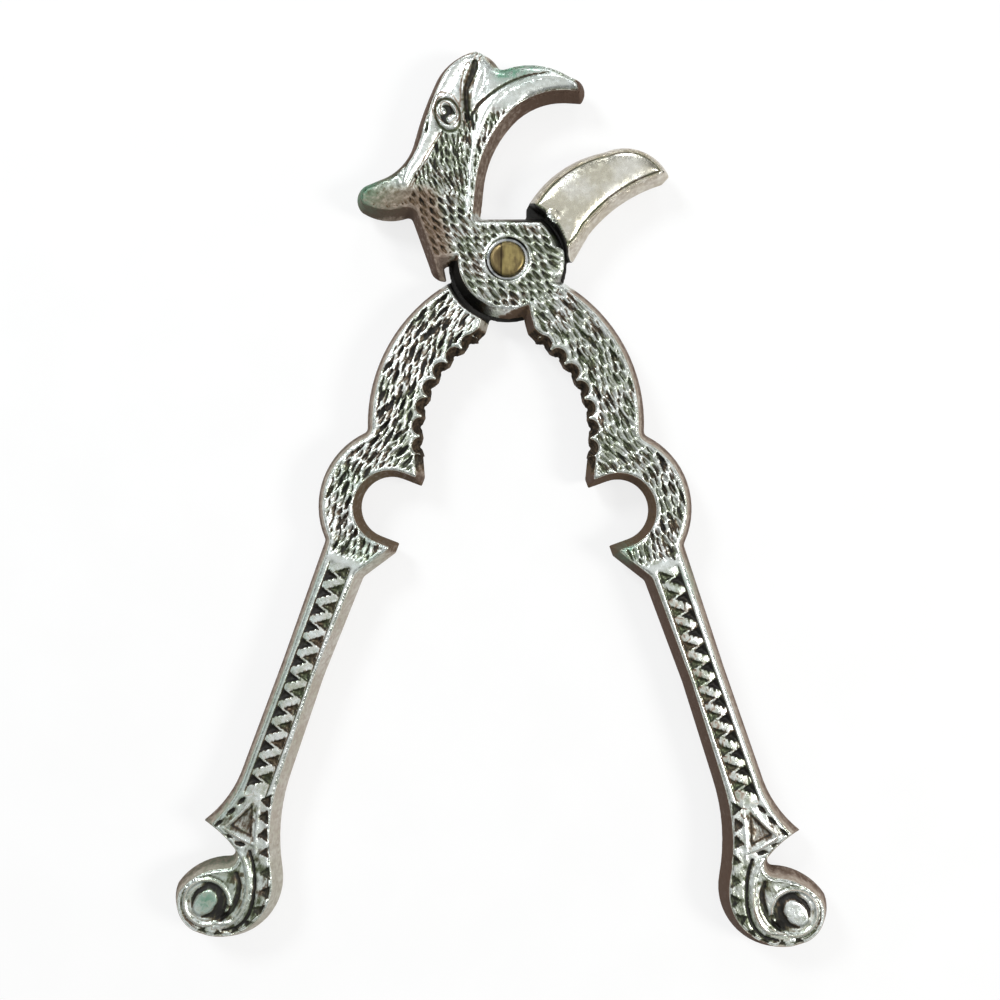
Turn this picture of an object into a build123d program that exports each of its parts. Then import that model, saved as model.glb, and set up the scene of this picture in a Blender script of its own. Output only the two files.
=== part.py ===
from build123d import *
import os
from math import atan2, cos, degrees, radians, sin

# Betel nut cutter: two cast levers crossed on one rivet, lying flat.
# The front lever is the bird's head and the right handle. The rear lever is
# the lower jaw and the left handle. Each is half as thick round the rivet.
# The origin is on the pivot axis at the back face, X to the right, Y up past
# the head and Z towards the viewer. The levers stand fully open.

# Casting
thickness = 9.0  # back face to front face
edge_slope = 1.4  # how far a wall leans in from mid height to a face
lap_gap = 0.16  # between the two discs
lap_clearance = 0.3  # round the rim of each disc
hollow_round = 0.9  # round of the hollow corners, at mid height
overrun = 1.0  # how far a cut runs past what it cuts

# Opening, in degrees from straight down
front_handle_angle = 19.9  # line of the front lever's handle
rear_handle_angle = 21.3  # line of the rear lever's handle
root_angle = 50.4  # from the handle's line out to its root corner
stop_angle = 1.1  # left between the neck's foot and the rear handle's root

# Discs round the rivet
disc_radius = 10.4  # front disc, at the lap
disc_slope = 1.5  # lean of the front disc's wall
disc_step = 0.6  # how much further out the rear disc reaches
shoulder_slope = 0.3  # lean of the shoulders that stand round the front disc
disc_flat = 8.1  # pivot to the flat across the top of both discs
foot_lip = 0.4  # how far the neck's foot reaches past the rear disc's clearance
foot_end_angle = 12.6  # width of the neck's end edge, round the pivot

# Head and jaw
head_height = 39.0  # pivot to the crown
head_width = 27.75  # pivot to the tip of the crest
jaw_height = 20.8  # pivot to the top of the jaw
jaw_length = 29.7  # pivot to the tip of the jaw

# Handles
handle_length = 135.6  # pivot to the foot of the scroll
handle_reach = 17.3  # handle line to the outside of the bulge

# Cracker teeth
tooth_count = 7
tooth_bite = 1.65  # radius of a gap between teeth, at the face
tooth_root = 0.35  # the same at mid height
tooth_wall = 2.6  # width of the upright wall that the teeth are cut in

# Opener notch
notch_radius = 5.6  # at mid height
notch_slope = 1.2

# Carving, on both faces
carving_depth = 0.7
pit_count = 13
pit_pitch = 3.3
pit_length = 2.5  # along the shank
pit_reach = 1.9  # across the shank
channel_width = 3.7
flare_depth = 0.9
scroll_ball = 3.3
groove_width = 0.9
fine_groove = 0.5
eye_length = 6.4
eye_width = 4.9
eye_rim = 0.6
pupil_length = 2.9
pupil_width = 2.0
nostril_length = 2.9
bead_radius = 0.75
bead_distance = 11.4  # pivot to the bead on the jaw's shoulder

# Rivet and washers
rivet_radius = 2.4
rivet_head_radius = 3.05
rivet_head_height = 0.7
rivet_head_round = 0.25
head_stand = 0.3  # how far the front head stands out of its seat
washer_radius = 3.9
washer_thickness = 0.5
press_clearance = 0.02
running_clearance = 0.05

half = thickness / 2
rear_disc_radius = disc_radius + disc_step
recess_radius = rear_disc_radius + lap_clearance
mid_plane = Plane.XY.offset(half)
front_plane = Plane.XY.offset(thickness)
wall_draft = degrees(atan2(edge_slope, half))
disc_draft = degrees(atan2(disc_slope, half))
front_seat_depth = washer_thickness + rivet_head_height - head_stand
back_seat_depth = washer_thickness + rivet_head_height

# Shares of the head's width and height. In each outline a row of one point
# is a line to it, and a row of two is an arc through the first to the second.
neck_start_share = -0.178
tip_hollow_share = (0.425, 0.872)
brow_share = (-0.048, 0.905)
flick_root_share = (-0.640, 0.218)
beak_to_crest_shares = (
    ((-0.160, 0.333),),
    ((-0.094, 0.515), (0.067, 0.674)),
    ((0.200, 0.731), (0.379, 0.753)),
    ((0.485, 0.748),),
    ((0.511, 0.806), tip_hollow_share),
    ((0.200, 0.930), brow_share),
    ((-0.110, 0.962), (-0.205, 0.998)),
    ((-0.380, 0.941), (-0.487, 0.836)),
    ((-0.566, 0.697), (-0.616, 0.580)),
    ((-0.680, 0.480), (-0.800, 0.408)),
    ((-0.945, 0.366),),
    ((-1.000, 0.300), (-0.965, 0.238)),
    ((-0.850, 0.204), flick_root_share),
    ((-0.590, 0.120), (-0.515, -0.028)),
)
heel_share = (-0.478, -0.074)
cheek_groove_shares = ((-0.255, 0.900), (-0.290, 0.780), (-0.250, 0.620))
crest_groove_shares = ((-0.430, 0.590), (-0.545, 0.455), (-0.640, 0.330))
nostril_share = (-0.200, 0.925)
nostril_angle = 70.0
eye_share = (-0.400, 0.695)
eye_angle = 20.0

# Shares of the jaw's length and height
jaw_heel_shares = ((0.330, 0.000), (0.404, 0.000), (0.505, 0.250))
jaw_edge_shares = (
    ((0.690, 0.500), (0.955, 0.685)),
    ((1.000, 0.755),),
    ((0.855, 0.969), (0.600, 0.976)),
    ((0.290, 0.775), (0.111, 0.470)),
    ((0.111, 0.385),),
)
bead_angle = 133.0
quarter_turn = 90.0
bead_sink_share = 0.7  # of its radius, from its centre up to the front face

# Shares of the handle's reach and length, in the handle's own frame, where
# the handle's line runs straight down from the pivot
teeth_shares = ((-0.017, -0.112), (0.254, -0.205), (0.087, -0.286))
shoulder_share = (0.214, -0.468)
flare_hollow_share = (0.364, -0.884)
bulge_foot_share = (0.740, -0.440)
bulge_top_share = (0.740, -0.282)
handle_edge_shares = (
    ((-0.046, -0.080),),
    ((-0.058, -0.101),),
    ((-0.017, -0.112),),
    ((0.254, -0.205), (0.087, -0.286)),
    ((-0.012, -0.312),),
    ((-0.012, -0.422),),
    (shoulder_share,),
    ((0.225, -0.614),),
    ((0.179, -0.751),),
    ((0.099, -0.816), (-0.104, -0.877)),
    ((-0.104, -0.959), (0.462, -1.000)),
    ((0.763, -0.985), (0.879, -0.948)),
    ((0.711, -0.909), flare_hollow_share),
    ((0.600, -0.866), (0.866, -0.856)),
    ((0.736, -0.820), (0.682, -0.778)),
    ((0.699, -0.614),),
    (bulge_foot_share,),
    ((1.000, -0.366), bulge_top_share),
)
cracker_back_share = (0.887, -0.187)
notch_share = (0.202, -0.366)
shank_top_share = (0.470, -0.484)
shank_foot_share = (0.430, -0.790)
flare_shares = ((0.420, -0.806), (0.610, -0.846), (0.270, -0.856))
scroll_share = (0.490, -0.948)
band_shares = ((0.260, -0.897), (0.130, -0.940), (0.330, -0.976))
disc_hold_share = 0.55  # each arm's outline ends this far out in the disc


def scaled(share, width, height):
    """Turn one pair of shares into a place."""
    return (share[0] * width, share[1] * height)


def round_pivot(radius, angle):
    """A place round the pivot, turned anticlockwise from straight down."""
    return (radius * sin(radians(angle)), -radius * cos(radians(angle)))


def trace(start, rows):
    """Draw a closed outline of lines and arcs, anticlockwise."""
    here = start
    for row in rows:
        if len(row) == 1:
            Line(here, row[0])
        else:
            ThreePointArc(here, row[0], row[1])
        here = row[-1]
    Line(here, start)


def round_hollows(outline, shares, width, height):
    """Round a sketch's hollow corners, each found by its share."""
    corners = [
        outline.vertices().sort_by_distance(scaled(share, width, height))[0] for share in shares
    ]
    fillet(corners, radius=hollow_round)


def scaled_rows(share_rows, width, height):
    """Turn an outline's shares into places."""
    return [[scaled(share, width, height) for share in row] for row in share_rows]


def arc_groove(shares, width, height, groove):
    """Outline a groove with round ends along an arc in the front face."""
    with BuildSketch(front_plane) as outline:
        with BuildLine(mode=Mode.PRIVATE):
            path = ThreePointArc(*[scaled(share, width, height) for share in shares])
        SlotArc(path, groove)
    return outline.sketch


def flat_disc(radius):
    """Outline a disc with its flat top at mid height."""
    with BuildSketch(mid_plane) as outline:
        Circle(radius)
        with Locations((0, disc_flat)):
            Rectangle(2 * radius, 2 * radius, align=(Align.CENTER, Align.MIN), mode=Mode.SUBTRACT)
    return outline.sketch


# Handle: the front half of one, standing straight down
with BuildPart() as handle_half:
    with BuildSketch(mid_plane) as handle_outline:
        with BuildLine():
            rows = scaled_rows(handle_edge_shares, handle_reach, handle_length)
            root_corner = round_pivot(rear_disc_radius, root_angle)
            rows.append([scaled(cracker_back_share, handle_reach, handle_length), root_corner])
            rows.append([round_pivot(disc_hold_share * disc_radius, root_angle)])
            trace(round_pivot(disc_hold_share * disc_radius, 0), rows)
        make_face()
        handle_hollows = (shoulder_share, flare_hollow_share, bulge_foot_share, bulge_top_share)
        round_hollows(handle_outline, handle_hollows, handle_reach, handle_length)
    extrude(amount=half, taper=wall_draft)

    # Upright wall for the cracker teeth, then the gaps between them
    teeth = [scaled(share, handle_reach, handle_length) for share in teeth_shares]
    wall = [(x + tooth_wall, y) for x, y in teeth]
    with BuildSketch(mid_plane):
        with BuildLine():
            ThreePointArc(*teeth)
            Line(teeth[-1], wall[-1])
            ThreePointArc(*reversed(wall))
            Line(wall[0], teeth[0])
        make_face()
    extrude(amount=half)
    with BuildLine(mode=Mode.PRIVATE) as teeth_line:
        ThreePointArc(*teeth)
    gap_places = [teeth_line.line @ ((index + 0.5) / tooth_count) for index in range(tooth_count)]
    with Locations(*[(place.X, place.Y, half) for place in gap_places]):
        Cone(
            bottom_radius=tooth_root,
            top_radius=tooth_bite,
            height=half,
            align=(Align.CENTER, Align.CENTER, Align.MIN),
            mode=Mode.SUBTRACT,
        )

    # Opener notch, open towards the other handle
    notch_x, notch_y = scaled(notch_share, handle_reach, handle_length)
    for plane, grown in ((mid_plane, 0), (front_plane, notch_slope)):
        with BuildSketch(plane):
            radius = notch_radius + grown
            with Locations((notch_x, notch_y)):
                Circle(radius)
                Rectangle(handle_reach, 2 * radius, align=(Align.MAX, Align.CENTER))
    loft(mode=Mode.SUBTRACT)

    # Rope of pits, turned about, between the shank's two rims
    shank_top = scaled(shank_top_share, handle_reach, handle_length)
    shank_foot = scaled(shank_foot_share, handle_reach, handle_length)
    shank_lean = degrees(atan2(shank_foot[0] - shank_top[0], shank_top[1] - shank_foot[1]))
    with BuildSketch(Plane(origin=(*shank_top, thickness)).rotated((0, 0, shank_lean))):
        for side in (1, -1):
            first = pit_pitch / 2 if side > 0 else pit_pitch
            for index in range(pit_count):
                middle = -first - index * pit_pitch
                rim = side * channel_width / 2
                with BuildLine():
                    Polyline(
                        (rim, middle - pit_length / 2),
                        (rim, middle + pit_length / 2),
                        (rim - side * pit_reach, middle),
                        close=True,
                    )
                make_face()
    extrude(amount=-carving_depth, mode=Mode.SUBTRACT)

    # Three cornered pit in the flare, the scroll's round groove and its band
    with BuildSketch(front_plane):
        with BuildLine():
            Polyline(
                *[scaled(share, handle_reach, handle_length) for share in flare_shares],
                close=True,
            )
        make_face()
        with Locations(scaled(scroll_share, handle_reach, handle_length)):
            Circle(scroll_ball + groove_width)
            Circle(scroll_ball, mode=Mode.SUBTRACT)
    extrude(amount=-flare_depth, mode=Mode.SUBTRACT)
    band = arc_groove(band_shares, handle_reach, handle_length, groove_width)
    extrude(band, amount=-carving_depth, mode=Mode.SUBTRACT)

left_handle_half = mirror(handle_half.part, about=Plane.YZ, mode=Mode.PRIVATE)

# Front lever: head, beak, crest, neck, front disc and right handle
with BuildPart() as front_lever:
    foot_angle = -(rear_handle_angle + root_angle + stop_angle)
    foot_radius = recess_radius + foot_lip
    with BuildSketch(mid_plane) as head_outline:
        with BuildLine():
            rows = scaled_rows(beak_to_crest_shares, head_width, head_height)
            foot_corner = round_pivot(foot_radius, foot_angle)
            rows.append([scaled(heel_share, head_width, head_height), foot_corner])
            rows.append([round_pivot(foot_radius, foot_angle - foot_end_angle)])
            rows.append([(-disc_hold_share * disc_radius, 0)])
            rows.append([(0, disc_hold_share * disc_flat)])
            trace((neck_start_share * head_width, disc_flat - lap_clearance), rows)
        make_face()
        head_hollows = (tip_hollow_share, brow_share, flick_root_share)
        round_hollows(head_outline, head_hollows, head_width, head_height)
    extrude(amount=half, taper=wall_draft)
    extrude(flat_disc(disc_radius), amount=half, taper=disc_draft)
    add(handle_half.part, rotation=(0, 0, front_handle_angle))

    # Eye, nostril and the grooves that bound the cheek and the crest
    with BuildSketch(front_plane):
        with Locations(scaled(eye_share, head_width, head_height)):
            Ellipse(eye_width / 2, eye_length / 2, rotation=eye_angle)
            Ellipse(
                eye_width / 2 - eye_rim,
                eye_length / 2 - eye_rim,
                rotation=eye_angle,
                mode=Mode.SUBTRACT,
            )
            Ellipse(pupil_width / 2, pupil_length / 2, rotation=eye_angle)
        with Locations(scaled(nostril_share, head_width, head_height)):
            SlotOverall(nostril_length, groove_width, rotation=nostril_angle)
    extrude(amount=-carving_depth, mode=Mode.SUBTRACT)
    cheek = arc_groove(cheek_groove_shares, head_width, head_height, groove_width)
    crest = arc_groove(crest_groove_shares, head_width, head_height, fine_groove)
    extrude([*cheek.faces(), *crest.faces()], amount=-carving_depth, mode=Mode.SUBTRACT)

    # Other half, then the lap, the bore and the front washer's seat
    mirror(about=mid_plane)
    with Locations((0, 0, half + lap_gap / 2)):
        Cylinder(
            recess_radius,
            half + overrun,
            align=(Align.CENTER, Align.CENTER, Align.MAX),
            mode=Mode.SUBTRACT,
        )
    with Locations(front_plane):
        CounterBoreHole(
            radius=rivet_radius + press_clearance,
            counter_bore_radius=washer_radius + press_clearance,
            counter_bore_depth=front_seat_depth,
        )

# Rear lever: lower jaw with its bead, rear disc and left handle
with BuildPart() as rear_lever:
    with BuildSketch(mid_plane):
        with BuildLine():
            heel = [scaled(share, jaw_length, jaw_height) for share in jaw_heel_shares]
            rows = [[place] for place in heel[1:]]
            rows += scaled_rows(jaw_edge_shares, jaw_length, jaw_height)
            trace(heel[0], rows)
        make_face()
    extrude(amount=half, taper=wall_draft)
    extrude(flat_disc(rear_disc_radius), amount=half, taper=wall_draft)
    add(left_handle_half, rotation=(0, 0, -rear_handle_angle))

    # Other half, then the lap with its sloping shoulders
    mirror(about=mid_plane)
    with Locations((0, 0, half - lap_gap / 2)):
        Cone(
            bottom_radius=recess_radius,
            top_radius=recess_radius + shoulder_slope,
            height=half + overrun,
            align=(Align.CENTER, Align.CENTER, Align.MIN),
            mode=Mode.SUBTRACT,
        )
    bead_x, bead_y = round_pivot(bead_distance, bead_angle)
    with Locations((bead_x, bead_y, thickness - bead_radius * bead_sink_share)):
        Sphere(bead_radius, rotation=(quarter_turn, 0, bead_angle))

    # Bore and the back washer's seat, both free to turn
    with Locations(Plane(origin=(0, 0, 0), z_dir=(0, 0, -1))):
        CounterBoreHole(
            radius=rivet_radius + running_clearance,
            counter_bore_radius=washer_radius + running_clearance,
            counter_bore_depth=back_seat_depth + running_clearance,
        )

# Rivet: its back head lies flush and its front head stands a little proud
with BuildPart() as pivot_rivet:
    with BuildSketch(Plane.XY):
        Circle(rivet_head_radius)
    extrude(amount=rivet_head_height)
    with BuildSketch(Plane.XY):
        Circle(rivet_radius)
    extrude(amount=thickness)
    with BuildSketch(Plane.XY.offset(thickness + head_stand)):
        Circle(rivet_head_radius)
    extrude(amount=-rivet_head_height)
    fillet(pivot_rivet.edges().group_by(Axis.Z)[-1], radius=rivet_head_round)

# Washers under the two rivet heads
with BuildPart() as front_washer:
    with BuildSketch(front_plane.offset(-front_seat_depth)):
        Circle(washer_radius)
        Circle(rivet_radius + press_clearance, mode=Mode.SUBTRACT)
    extrude(amount=washer_thickness)

with BuildPart() as back_washer:
    with BuildSketch(Plane.XY.offset(rivet_head_height)):
        Circle(washer_radius)
        Circle(rivet_radius + press_clearance, mode=Mode.SUBTRACT)
    extrude(amount=washer_thickness)

front_lever.part.label = "front_lever"
rear_lever.part.label = "rear_lever"
pivot_rivet.part.label = "pivot_rivet"
front_washer.part.label = "front_washer"
back_washer.part.label = "back_washer"

os.makedirs("parts", exist_ok=True)
export_step(front_lever.part, "parts/front_lever.step")
export_step(rear_lever.part, "parts/rear_lever.step")
export_step(pivot_rivet.part, "parts/pivot_rivet.step")
export_step(front_washer.part, "parts/front_washer.step")
export_step(back_washer.part, "parts/back_washer.step")
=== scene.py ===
"""Surfaces, finishes, floor, lamps and camera for the betel nut cutter.

Both levers are dressed copies of their castings. Each copy is remeshed finely
and its two faces are carved, so that the almond cuts, the rope, the rims, the
eye and the scrolls are real shapes. Lengths are in millimetres until a mesh is
written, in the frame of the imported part: the pivot axis is the origin, X runs
to the right, Y up past the bird's head and Z out of the front face.
"""

import logging
import math
from dataclasses import dataclass, field
from enum import Enum

import bmesh
import bpy
import numpy as np
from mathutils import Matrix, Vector
from mathutils.kdtree import KDTree


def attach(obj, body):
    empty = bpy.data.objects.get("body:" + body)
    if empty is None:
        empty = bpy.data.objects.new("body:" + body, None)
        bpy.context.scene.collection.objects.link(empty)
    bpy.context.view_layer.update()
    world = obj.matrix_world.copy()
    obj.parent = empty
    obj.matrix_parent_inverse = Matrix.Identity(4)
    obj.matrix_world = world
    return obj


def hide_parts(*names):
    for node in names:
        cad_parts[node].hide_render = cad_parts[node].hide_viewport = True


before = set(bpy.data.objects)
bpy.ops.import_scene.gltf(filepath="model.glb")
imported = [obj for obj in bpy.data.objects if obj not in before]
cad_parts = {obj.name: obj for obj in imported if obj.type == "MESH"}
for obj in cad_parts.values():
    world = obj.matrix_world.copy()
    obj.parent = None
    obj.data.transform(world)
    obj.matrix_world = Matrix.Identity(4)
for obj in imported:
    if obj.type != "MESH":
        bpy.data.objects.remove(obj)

MILLIMETRE = 0.001
GRAIN = "grain"
log = logging.getLogger("betel_nut_cutter")

Point = tuple[float, float]
Colour = tuple[float, float, float, float]


class Body(Enum):
    """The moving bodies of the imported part."""

    FRONT = "front"
    REAR = "rear"


class Slot(Enum):
    """The record's material slots."""

    SILVER = "antique_silver"
    BRASS = "brass"
    STEEL = "bright_steel"


class StainAndShade(Enum):
    """Point attributes that say where a colour lies on a casting: patina with painted shade, verdigris, painted brown
    shade and reflection on the walls, and polish.
    """

    PATINA_AND_SHADE = "patina"
    VERDIGRIS = "verdigris"
    SHADE_AND_REFLECTION = "shade_and_reflection"
    POLISH = "polish"


def smooth(low: float, high: float, value: np.ndarray) -> np.ndarray:
    """Rise softly from 0 at low to 1 at high.

    Args:
        low: Where the rise starts.
        high: Where it ends, which may be below low.
        value: The numbers to read.

    Returns:
        Shares from 0 to 1.
    """
    share = np.clip((value - low) / (high - low), 0.0, 1.0)
    return share * share * (3.0 - 2.0 * share)


def turned(places: np.ndarray, degrees: float) -> np.ndarray:
    """Turn places anticlockwise about the pivot.

    Args:
        places: Rows of x and y.
        degrees: The turn.

    Returns:
        The turned rows.
    """
    c, s = math.cos(math.radians(degrees)), math.sin(math.radians(degrees))
    x, y = places[:, 0], places[:, 1]
    return np.column_stack((c * x - s * y, s * x + c * y))


def blotch(places: np.ndarray, centre: Point, reach: float) -> np.ndarray:
    """Return a soft round spot."""
    return np.exp(-((places - np.array(centre)) ** 2).sum(1) / reach**2)


def lumps(places: np.ndarray, pitch: float, seed: int) -> np.ndarray:
    """Return soft random lumps, from -1 to 1, of one pitch.

    Args:
        places: Rows of x and y.
        pitch: Distance between the random heights.
        seed: Which lumps.

    Returns:
        One height for each place.
    """
    grid = np.random.default_rng(seed).uniform(-1, 1, (97, 97))
    cell = places / pitch
    low = np.floor(cell).astype(int)
    share = cell - low
    share = share * share * (3.0 - 2.0 * share)
    i, j = low[:, 0] % 96, low[:, 1] % 96
    u, v = share[:, 0], share[:, 1]
    near = grid[i, j] * (1 - u) + grid[i + 1, j] * u
    far = grid[i, j + 1] * (1 - u) + grid[i + 1, j + 1] * u
    return near * (1 - v) + far * v


def along_grain(places: np.ndarray, heights: tuple[float, ...], leans: tuple[float, ...]) -> np.ndarray:
    """Lay places out straight across and along a curving grain.

    Args:
        places: Rows of x and y.
        heights: Heights at which the grain's lean is known, rising.
        leans: The lean at each, in degrees from straight down towards +X.

    Returns:
        Rows of the distance across the grain and the distance along it.
    """
    steps = np.linspace(heights[0] - 90.0, heights[-1] + 12.0, 800)
    lean = np.radians(np.interp(steps, heights, leans))
    step = steps[1] - steps[0]
    aside, run = np.cumsum(np.tan(lean)) * step, np.cumsum(1.0 / np.cos(lean)) * step
    x, y = places.T
    return np.column_stack((x + np.interp(y, steps, aside), np.interp(y, steps, run)))


@dataclass(frozen=True)
class Path:
    """A smooth path through a few points of a face, with a half width at each."""

    points: tuple[Point, ...]
    reach: tuple[float, ...]
    steps: int = 8

    def rows(self) -> np.ndarray:
        """Return x, y and half width along a smooth curve through the points."""
        rows = np.column_stack((np.array(self.points, float), np.array(self.reach, float)))
        held = np.vstack((2 * rows[0] - rows[1], rows, 2 * rows[-1] - rows[-2]))
        t = np.linspace(0.0, 1.0, self.steps, endpoint=False)[:, None]
        runs = []
        for a, b, c, d in zip(held, held[1:], held[2:], held[3:]):
            even, square, cube = c - a, 2 * a - 5 * b + 4 * c - d, 3 * b - a - 3 * c + d
            runs.append(0.5 * (2 * b + even * t + square * t**2 + cube * t**3))
        return np.vstack([*runs, rows[-1:]])

    def share(self, places: np.ndarray, margin: float = 2.0) -> np.ndarray:
        """Measure how far places lie from the path.

        Args:
            places: Rows of x and y.
            margin: How many half widths out the measure is still wanted.

        Returns:
            The distance as a share of the local half width.
        """
        rows = self.rows()
        best = np.full(len(places), 1e3)
        grown = rows[:, 2].max() * margin
        low, high = rows[:, :2].min(0) - grown, rows[:, :2].max(0) + grown
        near = np.flatnonzero(((places > low) & (places < high)).all(1))
        here = places[near]
        found = np.full(len(near), 1e3)
        for start, end in zip(rows, rows[1:]):
            run = end[:2] - start[:2]
            along = np.clip(((here - start[:2]) @ run) / max(float(run @ run), 1e-12), 0.0, 1.0)
            off = here - (start[:2] + along[:, None] * run)
            reach = start[2] + along * (end[2] - start[2])
            found = np.minimum(found, np.hypot(off[:, 0], off[:, 1]) / reach)
        best[near] = found
        return best


@dataclass(frozen=True)
class AlmondCuts:
    """A field of almond cuts in staggered rows, as a chisel leaves them."""

    across: float
    along: float
    half_length: float
    half_width: float
    depth: float
    jitter: float
    seed: int
    grid_turn: float = 0.0
    floor_dark: float = 0.4
    # shade_dark is painted shade under each cut's upper left wall; floor_dark is patina on its floor.
    shade_dark: float = 1.0

    def centres(self, low: np.ndarray, high: np.ndarray) -> np.ndarray:
        """Return rows of x, y and three random numbers from -1 to 1, over a box."""
        reach = float(np.hypot(*(high - low))) / 2
        columns, rows = int(reach / self.across) + 1, int(reach / self.along) + 1
        luck = np.random.default_rng(self.seed)
        i, j = np.meshgrid(np.arange(-columns, columns + 1), np.arange(-rows, rows + 1))
        i, j = i.ravel(), j.ravel()
        shift = luck.uniform(-1, 1, (len(i), 5))
        x = (i + self.jitter * shift[:, 0]) * self.across
        y = (j + 0.5 * (i % 2) + self.jitter * shift[:, 1]) * self.along
        places = turned(np.column_stack((x, y)), self.grid_turn) + (low + high) / 2
        inside = ((places > low) & (places < high)).all(1)
        return np.column_stack((places, shift[:, 2:]))[inside]


@dataclass(frozen=True)
class Net:
    """A net of thin ridges round long scoops that lie along a curving grain."""

    across: float
    along: float
    depth: float
    warp: float
    seed: int
    floor_dark: float = 0.5
    # shade_dark is the painted shade under each scoop's upper left wall, and light_side points towards the light that
    # the wall is turned away from.
    shade_dark: float = 1.0
    light_side: Point = (-0.16, 0.16)

    def scoops(self, places: np.ndarray, heights: tuple[float, ...], leans: tuple[float, ...]) -> np.ndarray:
        """Measure how deep in its scoop each place lies.

        Args:
            places: Rows of x and y.
            heights: Heights at which the grain's lean is known, rising.
            leans: The lean at each, in degrees from straight down towards +X.

        Returns:
            Shares from 0 on a ridge to 1 on a scoop's floor.
        """
        v, u = along_grain(places, heights, leans).T
        v += self.warp * lumps(places, 1.7 * self.across, self.seed)
        u += 2.5 * self.warp * lumps(places, 1.4 * self.across, self.seed + 1)
        waves = np.cos(math.tau * v / self.across) + np.cos(math.tau * u / self.along)
        return smooth(0.10, 0.78, np.abs(waves) / 2)

    def cut(
        self,
        carving: "Carving",
        heights: tuple[float, ...],
        leans: tuple[float, ...],
        share: np.ndarray,
    ) -> None:
        """Cut the net into a face, with patina on the scoops' floors and painted shade under their upper left walls.

        Args:
            carving: The face.
            heights: Heights at which the grain's lean is known, rising.
            leans: The lean at each.
            share: How strongly it is cut at each point.
        """
        here = self.scoops(carving.places, heights, leans)
        ahead = self.scoops(carving.places + np.array(self.light_side), heights, leans)
        uneven = 1.0 + 0.35 * lumps(carving.places, 1.2 * self.across, self.seed + 2)
        carving.drop += self.depth * here * uneven * share
        # Painted shade where the scoop's wall faces away from the upper left light, added to the patina on its floor.
        shade = np.clip((here - ahead) / 0.45, 0.0, 1.0)
        dark = self.floor_dark * here * uneven + (self.shade_dark - 0.4 * self.floor_dark) * shade
        carving.darken(dark * share)


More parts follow.
